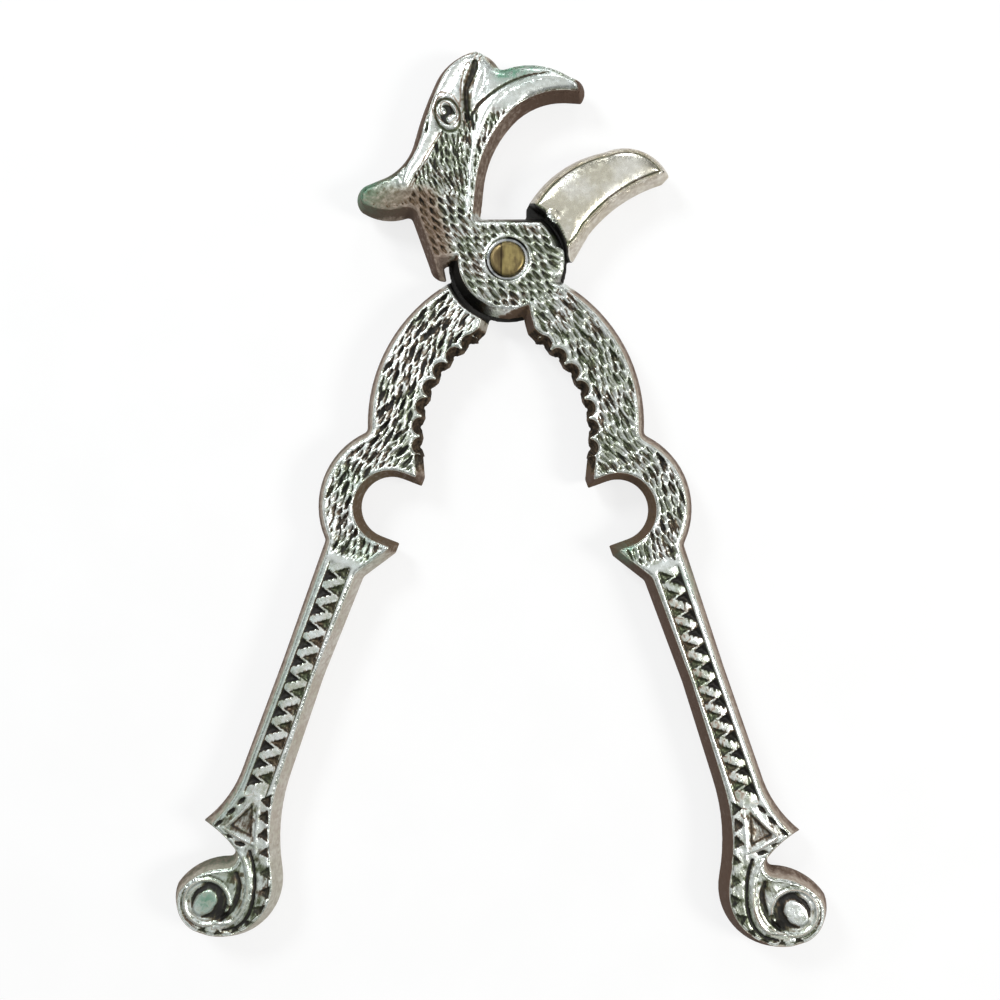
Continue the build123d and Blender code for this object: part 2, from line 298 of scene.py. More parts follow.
@dataclass
class Carving:
    """The relief of one face: how deep each point is sunk and how dark it is."""

    places: np.ndarray
    drop: np.ndarray = field(init=False)
    patina: np.ndarray = field(init=False)
    chased: np.ndarray = field(init=False)

    def __post_init__(self) -> None:
        """Start a flat, clean face."""
        self.drop = np.zeros(len(self.places))
        self.patina = np.zeros(len(self.places))
        self.chased = np.zeros(len(self.places))

    def darken(self, share: np.ndarray) -> None:
        """Leave at least so much patina and painted shade."""
        self.patina = np.maximum(self.patina, share)

    def almond(
        self,
        centre: Point,
        lean: float,
        length: float,
        width: float,
        depth: float,
        floor_dark: float = 0.85,
        shade_dark: float = 1.0,
    ) -> None:
        """Sink one almond, with patina on its floor and painted shade under its upper left wall.

        Args:
            centre: x and y.
            lean: Degrees from straight down towards +X, the way its length runs.
            length: Half length.
            width: Half width.
            depth: Depth below the surface round it.
            floor_dark: Patina on its floor.
            shade_dark: Painted shade under its upper left wall.
        """
        off = self.places - np.array(centre)
        near = np.flatnonzero((np.abs(off) < max(length, width)).all(1))
        if not len(near):
            return
        off = off[near]
        run = np.array([math.sin(math.radians(lean)), -math.cos(math.radians(lean))])
        aside = np.array([run[1], -run[0]])
        along = off @ run / length
        open_half = np.clip(1.0 - along**2, 1e-6, 1.0)
        side = off @ aside / (width * open_half)
        share = np.clip(1.0 - side**2, 0.0, 1.0) * (np.abs(along) < 1)
        lean_in = 1.0 + 0.3 * np.clip(side, -1, 1)
        self.drop[near] += depth * share * lean_in * np.sqrt(open_half)
        # Painted shade: darkest on the almond's upper left side, over the patina on its floor.
        shade = np.clip(0.75 * side + 0.45 * -along, -1.0, 1.0)
        dark = smooth(0.0, 0.35, share) * (floor_dark + (shade_dark - floor_dark) * smooth(-0.2, 0.6, shade))
        self.patina[near] = np.maximum(self.patina[near], dark)

    def groove(self, path: Path, depth: float, dark: float = 1.0) -> None:
        """Cut a round bottomed groove along a path."""
        shape = np.clip(1.0 - path.share(self.places) ** 2, 0.0, 1.0)
        self.drop += depth * shape
        self.darken(dark * smooth(0.05, 0.7, shape))

    def ridge(self, path: Path, crest: float, fall: float, clean: float = 1.0) -> None:
        """Leave a smooth rounded ridge standing along a path.

        Args:
            path: The ridge's line and half widths.
            crest: How far its top lies below the face.
            fall: How much lower its edges are.
            clean: How much of the patina is rubbed off its top.
        """
        share = path.share(self.places)
        inside = share < 1.0
        self.drop[inside] = crest + fall * share[inside] ** 2
        rubbed = 1.0 - clean * smooth(1.0, 0.6, share)
        self.patina[inside] *= rubbed[inside]

    def facet(self, corners: tuple[Point, ...], depth: float, slope: float, floor_dark: float = 0.45) -> None:
        """Sink a pit with flat sloping sides.

        Args:
            corners: Its corners, anticlockwise.
            depth: Depth of its middle.
            slope: Distance from a side at which it is that deep.
            floor_dark: Patina on its floor.
        """
        inner = np.full(len(self.places), 1e3)
        places = np.array(corners)
        for a, b in zip(places, np.roll(places, -1, axis=0)):
            run = (b - a) / np.hypot(*(b - a))
            off = self.places - a
            inner = np.minimum(inner, run[0] * off[:, 1] - run[1] * off[:, 0])
        share = np.clip(inner / slope, 0.0, 1.0)
        self.drop = np.maximum(self.drop, depth * share)
        edge = np.clip(1.0 - np.abs(inner - 0.35 * slope) / (0.45 * slope), 0.0, 1.0)
        self.patina = np.where(inner > 0, np.maximum(floor_dark, edge), self.patina)

    def notch(self, centre: Point, lean: float, half: float, reach: float, depth: float) -> None:
        """Sink one three cornered pit, whose base lies on the band's outer side.

        Args:
            centre: x and y.
            lean: Degrees from straight down towards +X, the way the band runs.
            half: Half length of its base.
            reach: Half the distance from its base to its point.
            depth: Depth of its middle.
        """
        run = np.array([math.sin(math.radians(lean)), -math.cos(math.radians(lean))])
        out = np.array([run[1], -run[0]])
        middle = np.array(centre)
        corners = (middle - half * run + reach * out, middle + half * run + reach * out, middle - reach * out)
        self.facet(tuple(tuple(corner) for corner in corners), depth, 0.42, 0.8)


@dataclass
class FaceOutline:
    """The rim of a casting's flat face, which tells how far in a place lies."""

    level: float
    spacing: float = 0.25
    samples: np.ndarray = field(init=False)
    tree: KDTree = field(init=False)

    def read(self, shell: bmesh.types.BMesh) -> "FaceOutline":
        """Collect the rim of the face from the merged casting, and return self."""
        rows: list[tuple[float, float, float, float]] = []
        for edge in shell.edges:
            if len(edge.link_faces) != 2:
                continue
            flat = [f for f in edge.link_faces if self._is_face(f)]
            other = [f for f in edge.link_faces if not self._is_face(f)]
            if len(flat) != 1 or not self._bounds(other[0]):
                continue
            a, b = (np.array(v.co) / MILLIMETRE for v in edge.verts)
            inner = np.array(flat[0].calc_center_median()) / MILLIMETRE
            run = (b - a)[:2]
            length = float(np.hypot(*run))
            if length < 1e-6:
                continue
            out = np.array([run[1], -run[0]]) / length
            if out @ (inner - a)[:2] > 0:
                out = -out
            steps = max(1, round(length / self.spacing))
            for share in (np.arange(steps) + 0.5) / steps:
                here = a[:2] + share * run
                rows.append((here[0], here[1], out[0], out[1]))
        self.samples = np.array(rows)
        self.tree = KDTree(len(rows))
        for index, row in enumerate(rows):
            self.tree.insert(Vector((row[0], row[1], 0.0)), index)
        self.tree.balance()
        return self

    def _is_face(self, face: bmesh.types.BMFace) -> bool:
        """Return whether a triangle lies in the flat face."""
        height = face.calc_center_median().z / MILLIMETRE
        return abs(face.normal.z) > 0.99 and abs(height - self.level) < 0.05

    @staticmethod
    def _bounds(face: bmesh.types.BMFace) -> bool:
        """Return whether a wall bounds the casting, and not a carved pit or a seat."""
        middle = face.calc_center_median() / MILLIMETRE
        return abs(face.normal.z) > 0.05 or 10.5 < math.hypot(middle.x, middle.y) < 12.0

    def inset(self, places: np.ndarray) -> np.ndarray:
        """Return how far inside the rim each place lies, negative outside it."""
        result = np.empty(len(places))
        for index, (x, y) in enumerate(places):
            _, nearest, away = self.tree.find(Vector((x, y, 0.0)))
            sx, sy, nx, ny = self.samples[nearest]
            result[index] = -away if (x - sx) * nx + (y - sy) * ny > 0 else away
        return result


@dataclass(frozen=True)
class HandleCarving:
    """What is carved on a handle, in its own frame, where it hangs straight down."""

    top: float = -8.6
    texture_foot: float = -60.5
    texture_drop: float = 0.2
    rim_inset: float = 0.7
    lean_heights: tuple[float, ...] = (-60, -46, -42.5, -39, -35, -28, -20, -12, -5)
    leans: tuple[float, ...] = (3, 4, 22, 24, 8, 3, 8, 20, 30)
    middle_heights: tuple[float, ...] = (-136, -122, -113, -105, -62, -57, -50, -43, -37, -28, -20, -10)
    middles: tuple[float, ...] = (3, 1.5, 5.5, 7.5, 8.2, 9.0, 12.2, 10.8, 8.0, 9.6, 7.4, 2.0)
    rope_top: Point = (8.13, -62.4)
    rope_foot: Point = (7.4, -107.6)
    rope_pitch: float = 3.3
    rope_half: float = 1.95
    ball_centre: Point = (8.48, -128.5)
    ball_radius: float = 2.9
    ball_lean: float = 20.0
    dots: tuple[tuple[float, float, float], ...] = (
        (4.5, -107.2, -14),
        (3.9, -110.1, -20),
        (2.8, -113.1, -28),
        (1.2, -115.9, -30),
        (-0.1, -119.4, -24),
        (-1.3, -122.8, -12),
        (-1.3, -126.4, 2),
        (-0.6, -129.7, 20),
        (1.3, -132.0, 48),
        (4.2, -133.9, 68),
        (7.4, -134.4, 88),
    )
    spur_dots: tuple[tuple[float, float, float], ...] = (
        (9.3, -109.0, 24),
        (10.4, -111.6, 26),
        (11.7, -114.3, 28),
        (6.7, -116.4, 80),
        (9.6, -116.0, 80),
    )
    crook_groove: Path = Path(
        ((4.6, -117.0), (2.9, -119.4), (1.5, -122.6), (0.75, -125.6), (0.7, -128.2), (1.7, -130.6), (4.0, -132.3)),
        (0.3, 0.38, 0.42, 0.42, 0.4, 0.36, 0.28),
    )
    crook_ridge: Path = Path(
        (
            (13.0, -116.9),
            (9.0, -117.4),
            (5.7, -118.3),
            (3.8, -120.4),
            (2.6, -122.9),
            (2.0, -125.6),
            (2.0, -128.1),
            (3.0, -130.2),
            (5.4, -131.4),
        ),
        (0.3, 0.45, 0.6, 0.66, 0.68, 0.68, 0.64, 0.55, 0.35),
    )
    hollow: Path = Path(
        ((5.4, -121.6), (4.3, -123.2), (3.7, -125.6), (3.9, -128.3), (4.9, -130.3)),
        (0.4, 0.6, 0.66, 0.6, 0.4),
    )
    pit: tuple[Point, ...] = ((7.05, -108.4), (5.0, -114.7), (9.8, -114.0))
    pit_ridges: tuple[Path, ...] = (
        Path(((6.5, -106.9), (5.6, -110.2), (4.4, -114.4), (3.4, -117.0)), (0.25, 0.34, 0.34, 0.25)),
        Path(((7.3, -107.0), (8.4, -110.6), (10.3, -114.6)), (0.22, 0.32, 0.25)),
        Path(((3.9, -115.5), (7.0, -115.4), (10.8, -114.7)), (0.25, 0.32, 0.25)),
    )


@dataclass(frozen=True)
class HeadCarving:
    """What is carved on the bird's head."""

    crest: Path = Path(
        (
            (-7.6, 37.9),
            (-10.2, 35.6),
            (-11.7, 32.4),
            (-13.0, 29.4),
            (-13.6, 26.8),
            (-13.9, 23.2),
            (-15.6, 19.6),
            (-17.2, 17.0),
            (-18.5, 14.0),
        ),
        (1.5, 2.3, 2.1, 1.15, 1.1, 1.75, 1.75, 1.3, 0.9),
    )
    cheek_groove: Path = Path(
        ((-5.9, 35.6), (-6.0, 34.6), (-6.5, 33.0), (-7.4, 30.9), (-7.4, 28.3), (-7.1, 25.6)),
        (0.7, 0.85, 0.65, 0.6, 0.6, 0.4),
    )
    brow_groove: Path = Path(
        ((-6.9, 35.2), (-8.2, 32.8), (-8.5, 30.5), (-8.1, 28.7)),
        (0.25, 0.3, 0.3, 0.2),
    )
    cheek_ridge: Path = Path(
        ((-4.5, 34.1), (-5.1, 32.2), (-5.6, 30.6), (-6.1, 29.1)),
        (0.4, 0.78, 0.7, 0.3),
    )
    curl: Path = Path(((-3.5, 30.8), (-4.3, 31.5), (-3.7, 32.4)), (0.3, 0.36, 0.25))
    beak_rim: Path = Path(
        (
            (-7.25, 8.6),
            (-6.85, 13.0),
            (-6.6, 17.0),
            (-6.0, 21.0),
            (-5.3, 23.4),
            (-4.2, 26.2),
            (-2.4, 28.9),
            (-0.2, 30.8),
            (2.8, 32.2),
            (6.0, 32.9),
            (9.6, 32.7),
            (12.2, 31.5),
        ),
        (0.36, 0.36, 0.38, 0.42, 0.55, 0.66, 0.72, 0.6, 0.5, 0.45, 0.42, 0.3),
    )
    beak_groove: Path = Path(
        ((-6.9, 25.2), (-5.6, 27.4), (-4.0, 29.1), (-1.9, 30.6), (1.0, 32.2), (4.4, 33.3), (7.6, 33.8)),
        (0.28, 0.4, 0.42, 0.4, 0.32, 0.26, 0.14),
    )
    leaf: Path = Path(((-6.0, 28.1), (-4.2, 29.6), (-2.2, 31.1)), (0.2, 0.36, 0.2))
    eye_centre: Point = (-10.8, 26.1)
    eye_reach: Point = (1.8, 2.5)
    eye_lean: float = -20.0
    texture_drop: float = 0.22
    lean_heights: tuple[float, ...] = (-12, 0, 6, 11, 16.5, 22, 28)
    leans: tuple[float, ...] = (36, 40, 38, 30, 22, 8, 2)
    smooth_spots: tuple[tuple[float, float, float], ...] = (
        (-8.6, 35.0, 2.6),
        (-8.0, 31.0, 2.6),
        (-7.6, 28.0, 1.6),
        (-5.0, 35.0, 2.6),
        (-5.0, 31.2, 2.2),
        (-1.0, 33.5, 2.6),
        (3.0, 33.0, 3.4),
        (9.0, 33.0, 4.4),
        (13.0, 31.5, 3.4),
        (-21.0, 14.0, 4.2),
        (-25.0, 12.6, 4.0),
    )


@dataclass
class Casting:
    """One lever: a finely remeshed copy of its casting, carved on both faces."""

    node: str
    body: Body
    handle_angle: float
    mirrored: bool
    thickness: float = 9.0
    voxel: float = 0.22
    most_triangles: int = 192_000
    edge_round: float = 0.4
    edge_reach: float = 0.75
    fill_depth: float = 1.2
    seat_radius: float = 4.2
    arc_darkening: float = 1.08
    bulge_darkening: float = 0.82
    scroll_darkening: float = 1.0
    handle: HandleCarving = HandleCarving()
    head: HeadCarving = HeadCarving()

    def build(self, finish: bpy.types.Material) -> bpy.types.Object:
        """Make, carve and dress the lever.

        Args:
            finish: The casting's material.

        Returns:
            The finished piece.
        """
        shell = bmesh.new()
        shell.from_mesh(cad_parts[self.node].data)
        bmesh.ops.remove_doubles(shell, verts=shell.verts, dist=1e-7)
        outlines = {level: FaceOutline(level).read(shell) for level in (self.thickness, 0.0)}
        mesh = bpy.data.meshes.new(self.node + "_cast")
        shell.to_mesh(mesh)
        shell.free()
        piece = bpy.data.objects.new(self.node + "_cast", mesh)
        bpy.context.scene.collection.objects.link(piece)
        self._remesh(piece)
        self._carve(piece, outlines)
        self._thin(piece)
        piece.data.materials.clear()
        piece.data.materials.append(finish)
        piece.data.polygons.foreach_set("use_smooth", [True] * len(piece.data.polygons))
        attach(piece, self.body.value)
        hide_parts(self.node)
        return piece

    def _remesh(self, piece: bpy.types.Object) -> None:
        """Give the copy an even fine mesh with slightly soft corners."""
        remesh = piece.modifiers.new("remesh", "REMESH")
        remesh.mode = "VOXEL"
        remesh.voxel_size = self.voxel * MILLIMETRE
        soften = piece.modifiers.new("soften", "SMOOTH")
        soften.factor = 0.5
        soften.iterations = 2
        bake(piece)

    def _thin(self, piece: bpy.types.Object) -> None:
        """Drop triangles where the surface is plain."""
        triangles = 2 * len(piece.data.polygons)
        if triangles <= self.most_triangles:
            return
        thin = piece.modifiers.new("thin", "DECIMATE")
        thin.ratio = self.most_triangles / triangles
        bake(piece)

    def _carve(self, piece: bpy.types.Object, outlines: dict[float, FaceOutline]) -> None:
        """Move the points of both faces, and store where each stain and each painted shade lies.

        Args:
            piece: The remeshed copy.
            outlines: The rim of each face, by its height.
        """
        mesh = piece.data
        spots = np.empty(len(mesh.vertices) * 3)
        normals = np.empty(len(mesh.vertices) * 3)
        mesh.vertices.foreach_get("co", spots)
        mesh.vertices.foreach_get("normal", normals)
        spots, normals = spots.reshape(-1, 3) / MILLIMETRE, normals.reshape(-1, 3)
        whole = spots.copy()
        patina = np.maximum(self.hollows(spots, normals), self.tooth_shade(spots, normals))
        chased = np.full(len(spots), 0.4)
        for level, outline in outlines.items():
            up = 1.0 if level else -1.0
            near = np.flatnonzero(np.abs(spots[:, 2] - level) < self.fill_depth)
            places = spots[near, :2].copy()
            inset = outline.inset(places)
            above = up * (spots[near, 2] - level)
            radius = np.hypot(places[:, 0], places[:, 1])
            flat = smooth(0.2, 0.45, inset) * (above < 0.02) * smooth(self.seat_radius, self.seat_radius + 0.3, radius)
            carving = self.carve_face(places, inset)
            facing = np.maximum(smooth(0.15, 0.6, up * normals[near, 2]), flat)
            spots[near, 2] += (level - spots[near, 2]) * flat - up * carving.drop * facing
            patina[near] = np.where(flat > 0.5, carving.patina, np.maximum(patina[near], carving.patina * facing))
            chased[near] = np.where(flat > 0.5, carving.chased, chased[near])
        grain = np.column_stack((self.grain(spots[:, :2]), chased))
        layer = mesh.attributes.new(GRAIN, "FLOAT_VECTOR", "POINT")
        layer.data.foreach_set("vector", grain.astype(np.float32).ravel())
        stains_and_shade = self.stains_and_shade(spots, normals)
        spots[:, :2] *= (1.0 + self.lap_shift(whole))[:, None]
        mesh.vertices.foreach_set("co", (spots * MILLIMETRE).ravel())
        mesh.update()
        stains_and_shade[StainAndShade.PATINA_AND_SHADE] = patina
        for tone, share in stains_and_shade.items():
            layer = mesh.attributes.new(tone.value, "FLOAT", "POINT")
            layer.data.foreach_set("value", np.clip(share, 0.0, 1.0).astype(np.float32))

    def in_handle(self, places: np.ndarray) -> np.ndarray:
        """Return places in the handle's own frame."""
        out = places * np.array([-1.0, 1.0]) if self.mirrored else places
        return turned(out, -self.handle_angle)

    def grain(self, places: np.ndarray) -> np.ndarray:
        """Return how far each place lies across and along the grain of the chasing."""
        own = self.in_handle(places)
        top = along_grain(places, self.head.lean_heights, self.head.leans)
        below = along_grain(own, self.handle.lean_heights, self.handle.leans)
        return np.where((own[:, 1] < self.handle.top)[:, None], below, top)

    def tooth_shade(self, spots: np.ndarray, normals: np.ndarray) -> np.ndarray:
        """Return the painted shade and patina in the gaps between the teeth and round the opener notch."""
        wall, inner, own = self.handle_masks(spots, normals)
        teeth = smooth(-42.2, -41.4, own[:, 1]) * smooth(-13.0, -14.0, own[:, 1])
        notch = smooth(-57.5, -56.5, own[:, 1]) * smooth(-42.6, -43.6, own[:, 1])
        return (0.76 * teeth + 0.42 * notch) * wall * inner * smooth(0.6, 3.0, spots[:, 2])

    def carve_face(self, places: np.ndarray, inset: np.ndarray) -> Carving:
        """Carve one face.

        Args:
            places: Its points.
            inset: How far inside the rim each lies.

        Returns:
            The face's relief.
        """
        carving = Carving(places)
        own = self.in_handle(places)
        for rows, carve in (
            (np.flatnonzero(own[:, 1] < self.handle.top), self.carve_handle),
            (np.flatnonzero(own[:, 1] >= self.handle.top), self.carve_top),
        ):
            part = Carving((own if carve == self.carve_handle else places)[rows])
            carve(part, inset[rows])
            carving.drop[rows], carving.patina[rows] = part.drop, part.patina
            carving.chased[rows] = part.chased
        inside = np.clip(1.0 - inset / self.edge_reach, 0.0, 1.0)
        carving.drop += self.edge_round * inside**2 + 0.035 * lumps(places, 1.3, 5)
        carving.patina *= smooth(0.05, 0.35, inset)
        return carving

    def lap_shift(self, spots: np.ndarray) -> np.ndarray:
        """Return how far each point at the lap goes out, as a share of its radius."""
        raise NotImplementedError

    def hollows(self, spots: np.ndarray, normals: np.ndarray) -> np.ndarray:
        """Return the patina and painted shade in the casting's lap. Each lever has its own."""
        raise NotImplementedError

    def carve_top(self, carving: Carving, inset: np.ndarray) -> None:
        """Carve what lies above the handle. Each lever has its own."""
        raise NotImplementedError

    def stains_and_shade(self, spots: np.ndarray, normals: np.ndarray) -> dict[StainAndShade, np.ndarray]:
        """Return where verdigris and polish lie, and where brown shade and reflection are painted. Each lever has its
        own.
        """
        raise NotImplementedError

    def cut_field(
        self,
        carving: Carving,
        cuts: AlmondCuts,
        heights: tuple[float, ...],
        leans: tuple[float, ...],
        allowed: np.ndarray,
    ) -> None:
        """Cut a field of almonds where it is allowed.

        Args:
            carving: The face, in the frame of the heights.
            cuts: The field.
            heights: Heights at which the lean is known, rising.
            leans: The lean at each.
            allowed: Which points may be the middle of a cut.
        """
        if not allowed.any():
            return
        spots = carving.places[allowed]
        tree = KDTree(len(spots))
        for index, (x, y) in enumerate(spots):
            tree.insert(Vector((x, y, 0.0)), index)
        tree.balance()
        for x, y, luck_a, luck_b, luck_c in cuts.centres(spots.min(0), spots.max(0)):
            _, _, away = tree.find(Vector((x, y, 0.0)))
            if away > 0.3:
                continue
            carving.almond(
                (x, y),
                float(np.interp(y, heights, leans)) + 8.0 * luck_a,
                cuts.half_length * (1.0 + 0.22 * luck_b),
                cuts.half_width * (1.0 + 0.2 * luck_c),
                cuts.depth * (1.0 + 0.25 * luck_a),
                cuts.floor_dark * (1.0 + 0.3 * luck_b),
                cuts.shade_dark * (0.9 + 0.1 * luck_c),
            )

    def carve_handle(self, carving: Carving, inset: np.ndarray) -> None:
        """Carve the toothed arc, the bulge, the rope and the scroll, in the handle's frame."""
        plan = self.handle
        y = carving.places[:, 1]
        textured = (y > plan.texture_foot) & (inset > plan.rim_inset)
        lowered = smooth(plan.rim_inset - 0.35, plan.rim_inset + 0.15, inset)
        lowered = lowered * smooth(plan.texture_foot - 1.0, plan.texture_foot + 0.5, y)
        carving.drop += plan.texture_drop * lowered
        carving.darken(0.16 * lowered)
        carving.chased = lowered
        Net(1.2, 4.2, 0.34, 0.3, 11, 0.5).cut(carving, plan.lean_heights, plan.leans, lowered)
        cuts = AlmondCuts(1.9, 3.5, 1.55, 0.4, 0.42, 0.4, 17, 8.0, 0.95, 1.0)
        self.cut_field(carving, cuts, plan.lean_heights, plan.leans, textured)
        arc_share = smooth(-44.0, -38.0, y)
        carving.patina *= self.bulge_darkening + (self.arc_darkening - self.bulge_darkening) * arc_share
        self._carve_rope(carving)
        self._carve_scroll(carving, inset)

    def _carve_rope(self, carving: Carving) -> None:
        """Cut the shank's two rows of pits, which leave a rope between them."""
        plan = self.handle
        x, y = carving.places.T
        (x0, y0), (x1, y1) = plan.rope_top, plan.rope_foot
        middle = x0 + (y - y0) * (x1 - x0) / (y1 - y0)
        off = x - middle
        within = smooth(y0 + 0.4, y0 - 0.6, y) * smooth(y1 - 0.4, y1 + 0.8, y)
        channel = smooth(plan.rope_half + 0.12, plan.rope_half - 0.25, np.abs(off)) * within
        carving.drop += channel * (0.1 + 0.28 * (np.abs(off) / plan.rope_half) ** 2)
        carving.chased = np.maximum(carving.chased, 0.4 * channel)
        lines = np.clip(1.0 - np.abs(np.abs(off) - plan.rope_half) / 0.2, 0.0, 1.0) * within
        carving.drop += 0.18 * lines
        carving.darken(0.9 * lines)
        count = int((y0 - y1) / plan.rope_pitch)
        for index in range(count):
            height = y0 - 1.2 - index * plan.rope_pitch
            here = x0 + (height - y0) * (x1 - x0) / (y1 - y0)
            left = ((here - 1.75, height + 1.35), (here - 1.85, height - 1.25), (here + 0.75, height - 0.55))
            right = ((here + 1.95, height - 3.05), (here + 1.85, height - 0.45), (here - 0.55, height - 1.25))
            carving.facet(left, 0.75, 0.55, 0.62)
            carving.facet(right, 0.75, 0.5, 0.95)

    def _carve_scroll(self, carving: Carving, inset: np.ndarray) -> None:
        """Carve the flare's pit, the dotted band, the crook and the ball."""
        plan = self.handle
        x, y = carving.places.T
        low = smooth(-107.0, -109.5, y)
        off_x, off_y = x - plan.ball_centre[0], y - plan.ball_centre[1]
        away = np.hypot(off_x, off_y)
        sunk = low * smooth(0.45, 0.9, inset)
        carving.drop += sunk * (0.2 + 0.06 * lumps(carving.places, 0.8, 63))
        carving.darken(self.scroll_darkening * sunk * (0.32 + 0.4 * lumps(carving.places, 0.9, 64)))
        carving.chased = np.maximum(carving.chased, 0.5 * sunk)
        line = np.clip(1.0 - np.abs(inset - 0.62) / 0.17, 0.0, 1.0) * smooth(-116.0, -119.0, y)
        carving.drop += 0.15 * line
        carving.darken(0.8 * line)
        for dot_x, dot_y, lean in plan.dots:
            inward = (math.cos(math.radians(lean)) * 0.75, math.sin(math.radians(lean)) * 0.75)
            carving.notch((dot_x + inward[0], dot_y + inward[1]), lean, 1.4, 1.0, 0.6)
        for dot_x, dot_y, lean in plan.spur_dots:
            carving.almond((dot_x, dot_y), lean, 1.15, 0.42, 0.4, 0.9, 1.0)
        carving.facet(plan.pit, 0.55, 0.9)
        for ridge in plan.pit_ridges:
            carving.ridge(ridge, 0.02, 0.2)
        carving.groove(plan.crook_groove, 0.45, 1.0)
        within = smooth(4.6, 4.2, away) * smooth(-1.0, -1.8, off_x + 0.3 * off_y)
        rough = lumps(carving.places, 0.9, 61)
        carving.drop += within * (0.35 + 0.3 * rough)
        carving.darken(within * (0.55 + 0.6 * rough))
        carving.groove(plan.hollow, 0.4, 0.9)
        carving.ridge(plan.crook_ridge, 0.0, 0.32)

        # Ball with its flat worn top, the dark moat round it, with painted shade on its upper left side, and the ring
        # outside
        moat = (away > plan.ball_radius - 0.2) & (away < 3.7)
        shaded = smooth(-0.5, 0.4, (0.6 * off_y - off_x) / 3.0)
        carving.drop[moat] = (0.3 + 0.32 * shaded + 0.12 * rough)[moat]
        carving.patina[moat] = (0.25 + 0.7 * shaded + 0.3 * rough)[moat]
        ring = np.abs(away - 4.1) / 0.48
        ringed = (ring < 1.0) & ((off_x > -2.6) | (off_y > 1.0))
        carving.drop[ringed] = (0.04 + 0.3 * ring**2)[ringed]
        carving.patina[ringed] *= 0.25
        outer = np.clip(1.0 - np.abs(away - 4.72) / 0.2, 0.0, 1.0) * (off_x > -1.5)
        carving.drop += 0.2 * outer
        carving.darken(0.85 * outer)
        ball = away < plan.ball_radius
        slant = turned(np.column_stack((off_x - 0.3, off_y + 0.2)), -plan.ball_lean)
        crown = np.hypot(slant[:, 0] / 1.6, slant[:, 1] / 2.35)
        carving.drop[ball] = (0.03 + 0.55 * smooth(0.95, 1.45, crown))[ball]
        carving.patina[ball] = (0.95 * smooth(1.0, 1.25, crown + 0.12 * rough))[ball]

    def handle_masks(self, spots: np.ndarray, normals: np.ndarray) -> tuple[np.ndarray, np.ndarray, np.ndarray]:
        """Return the walls' share, the inner side's share and places in the handle's frame."""
        own = self.in_handle(spots[:, :2])
        wall = smooth(0.8, 0.5, np.abs(normals[:, 2]))
        middle = np.interp(own[:, 1], self.handle.middle_heights, self.handle.middles)
        inner = smooth(0.4, -0.4, own[:, 0] - middle) * (own[:, 1] < -9.0)
        return wall, inner, own


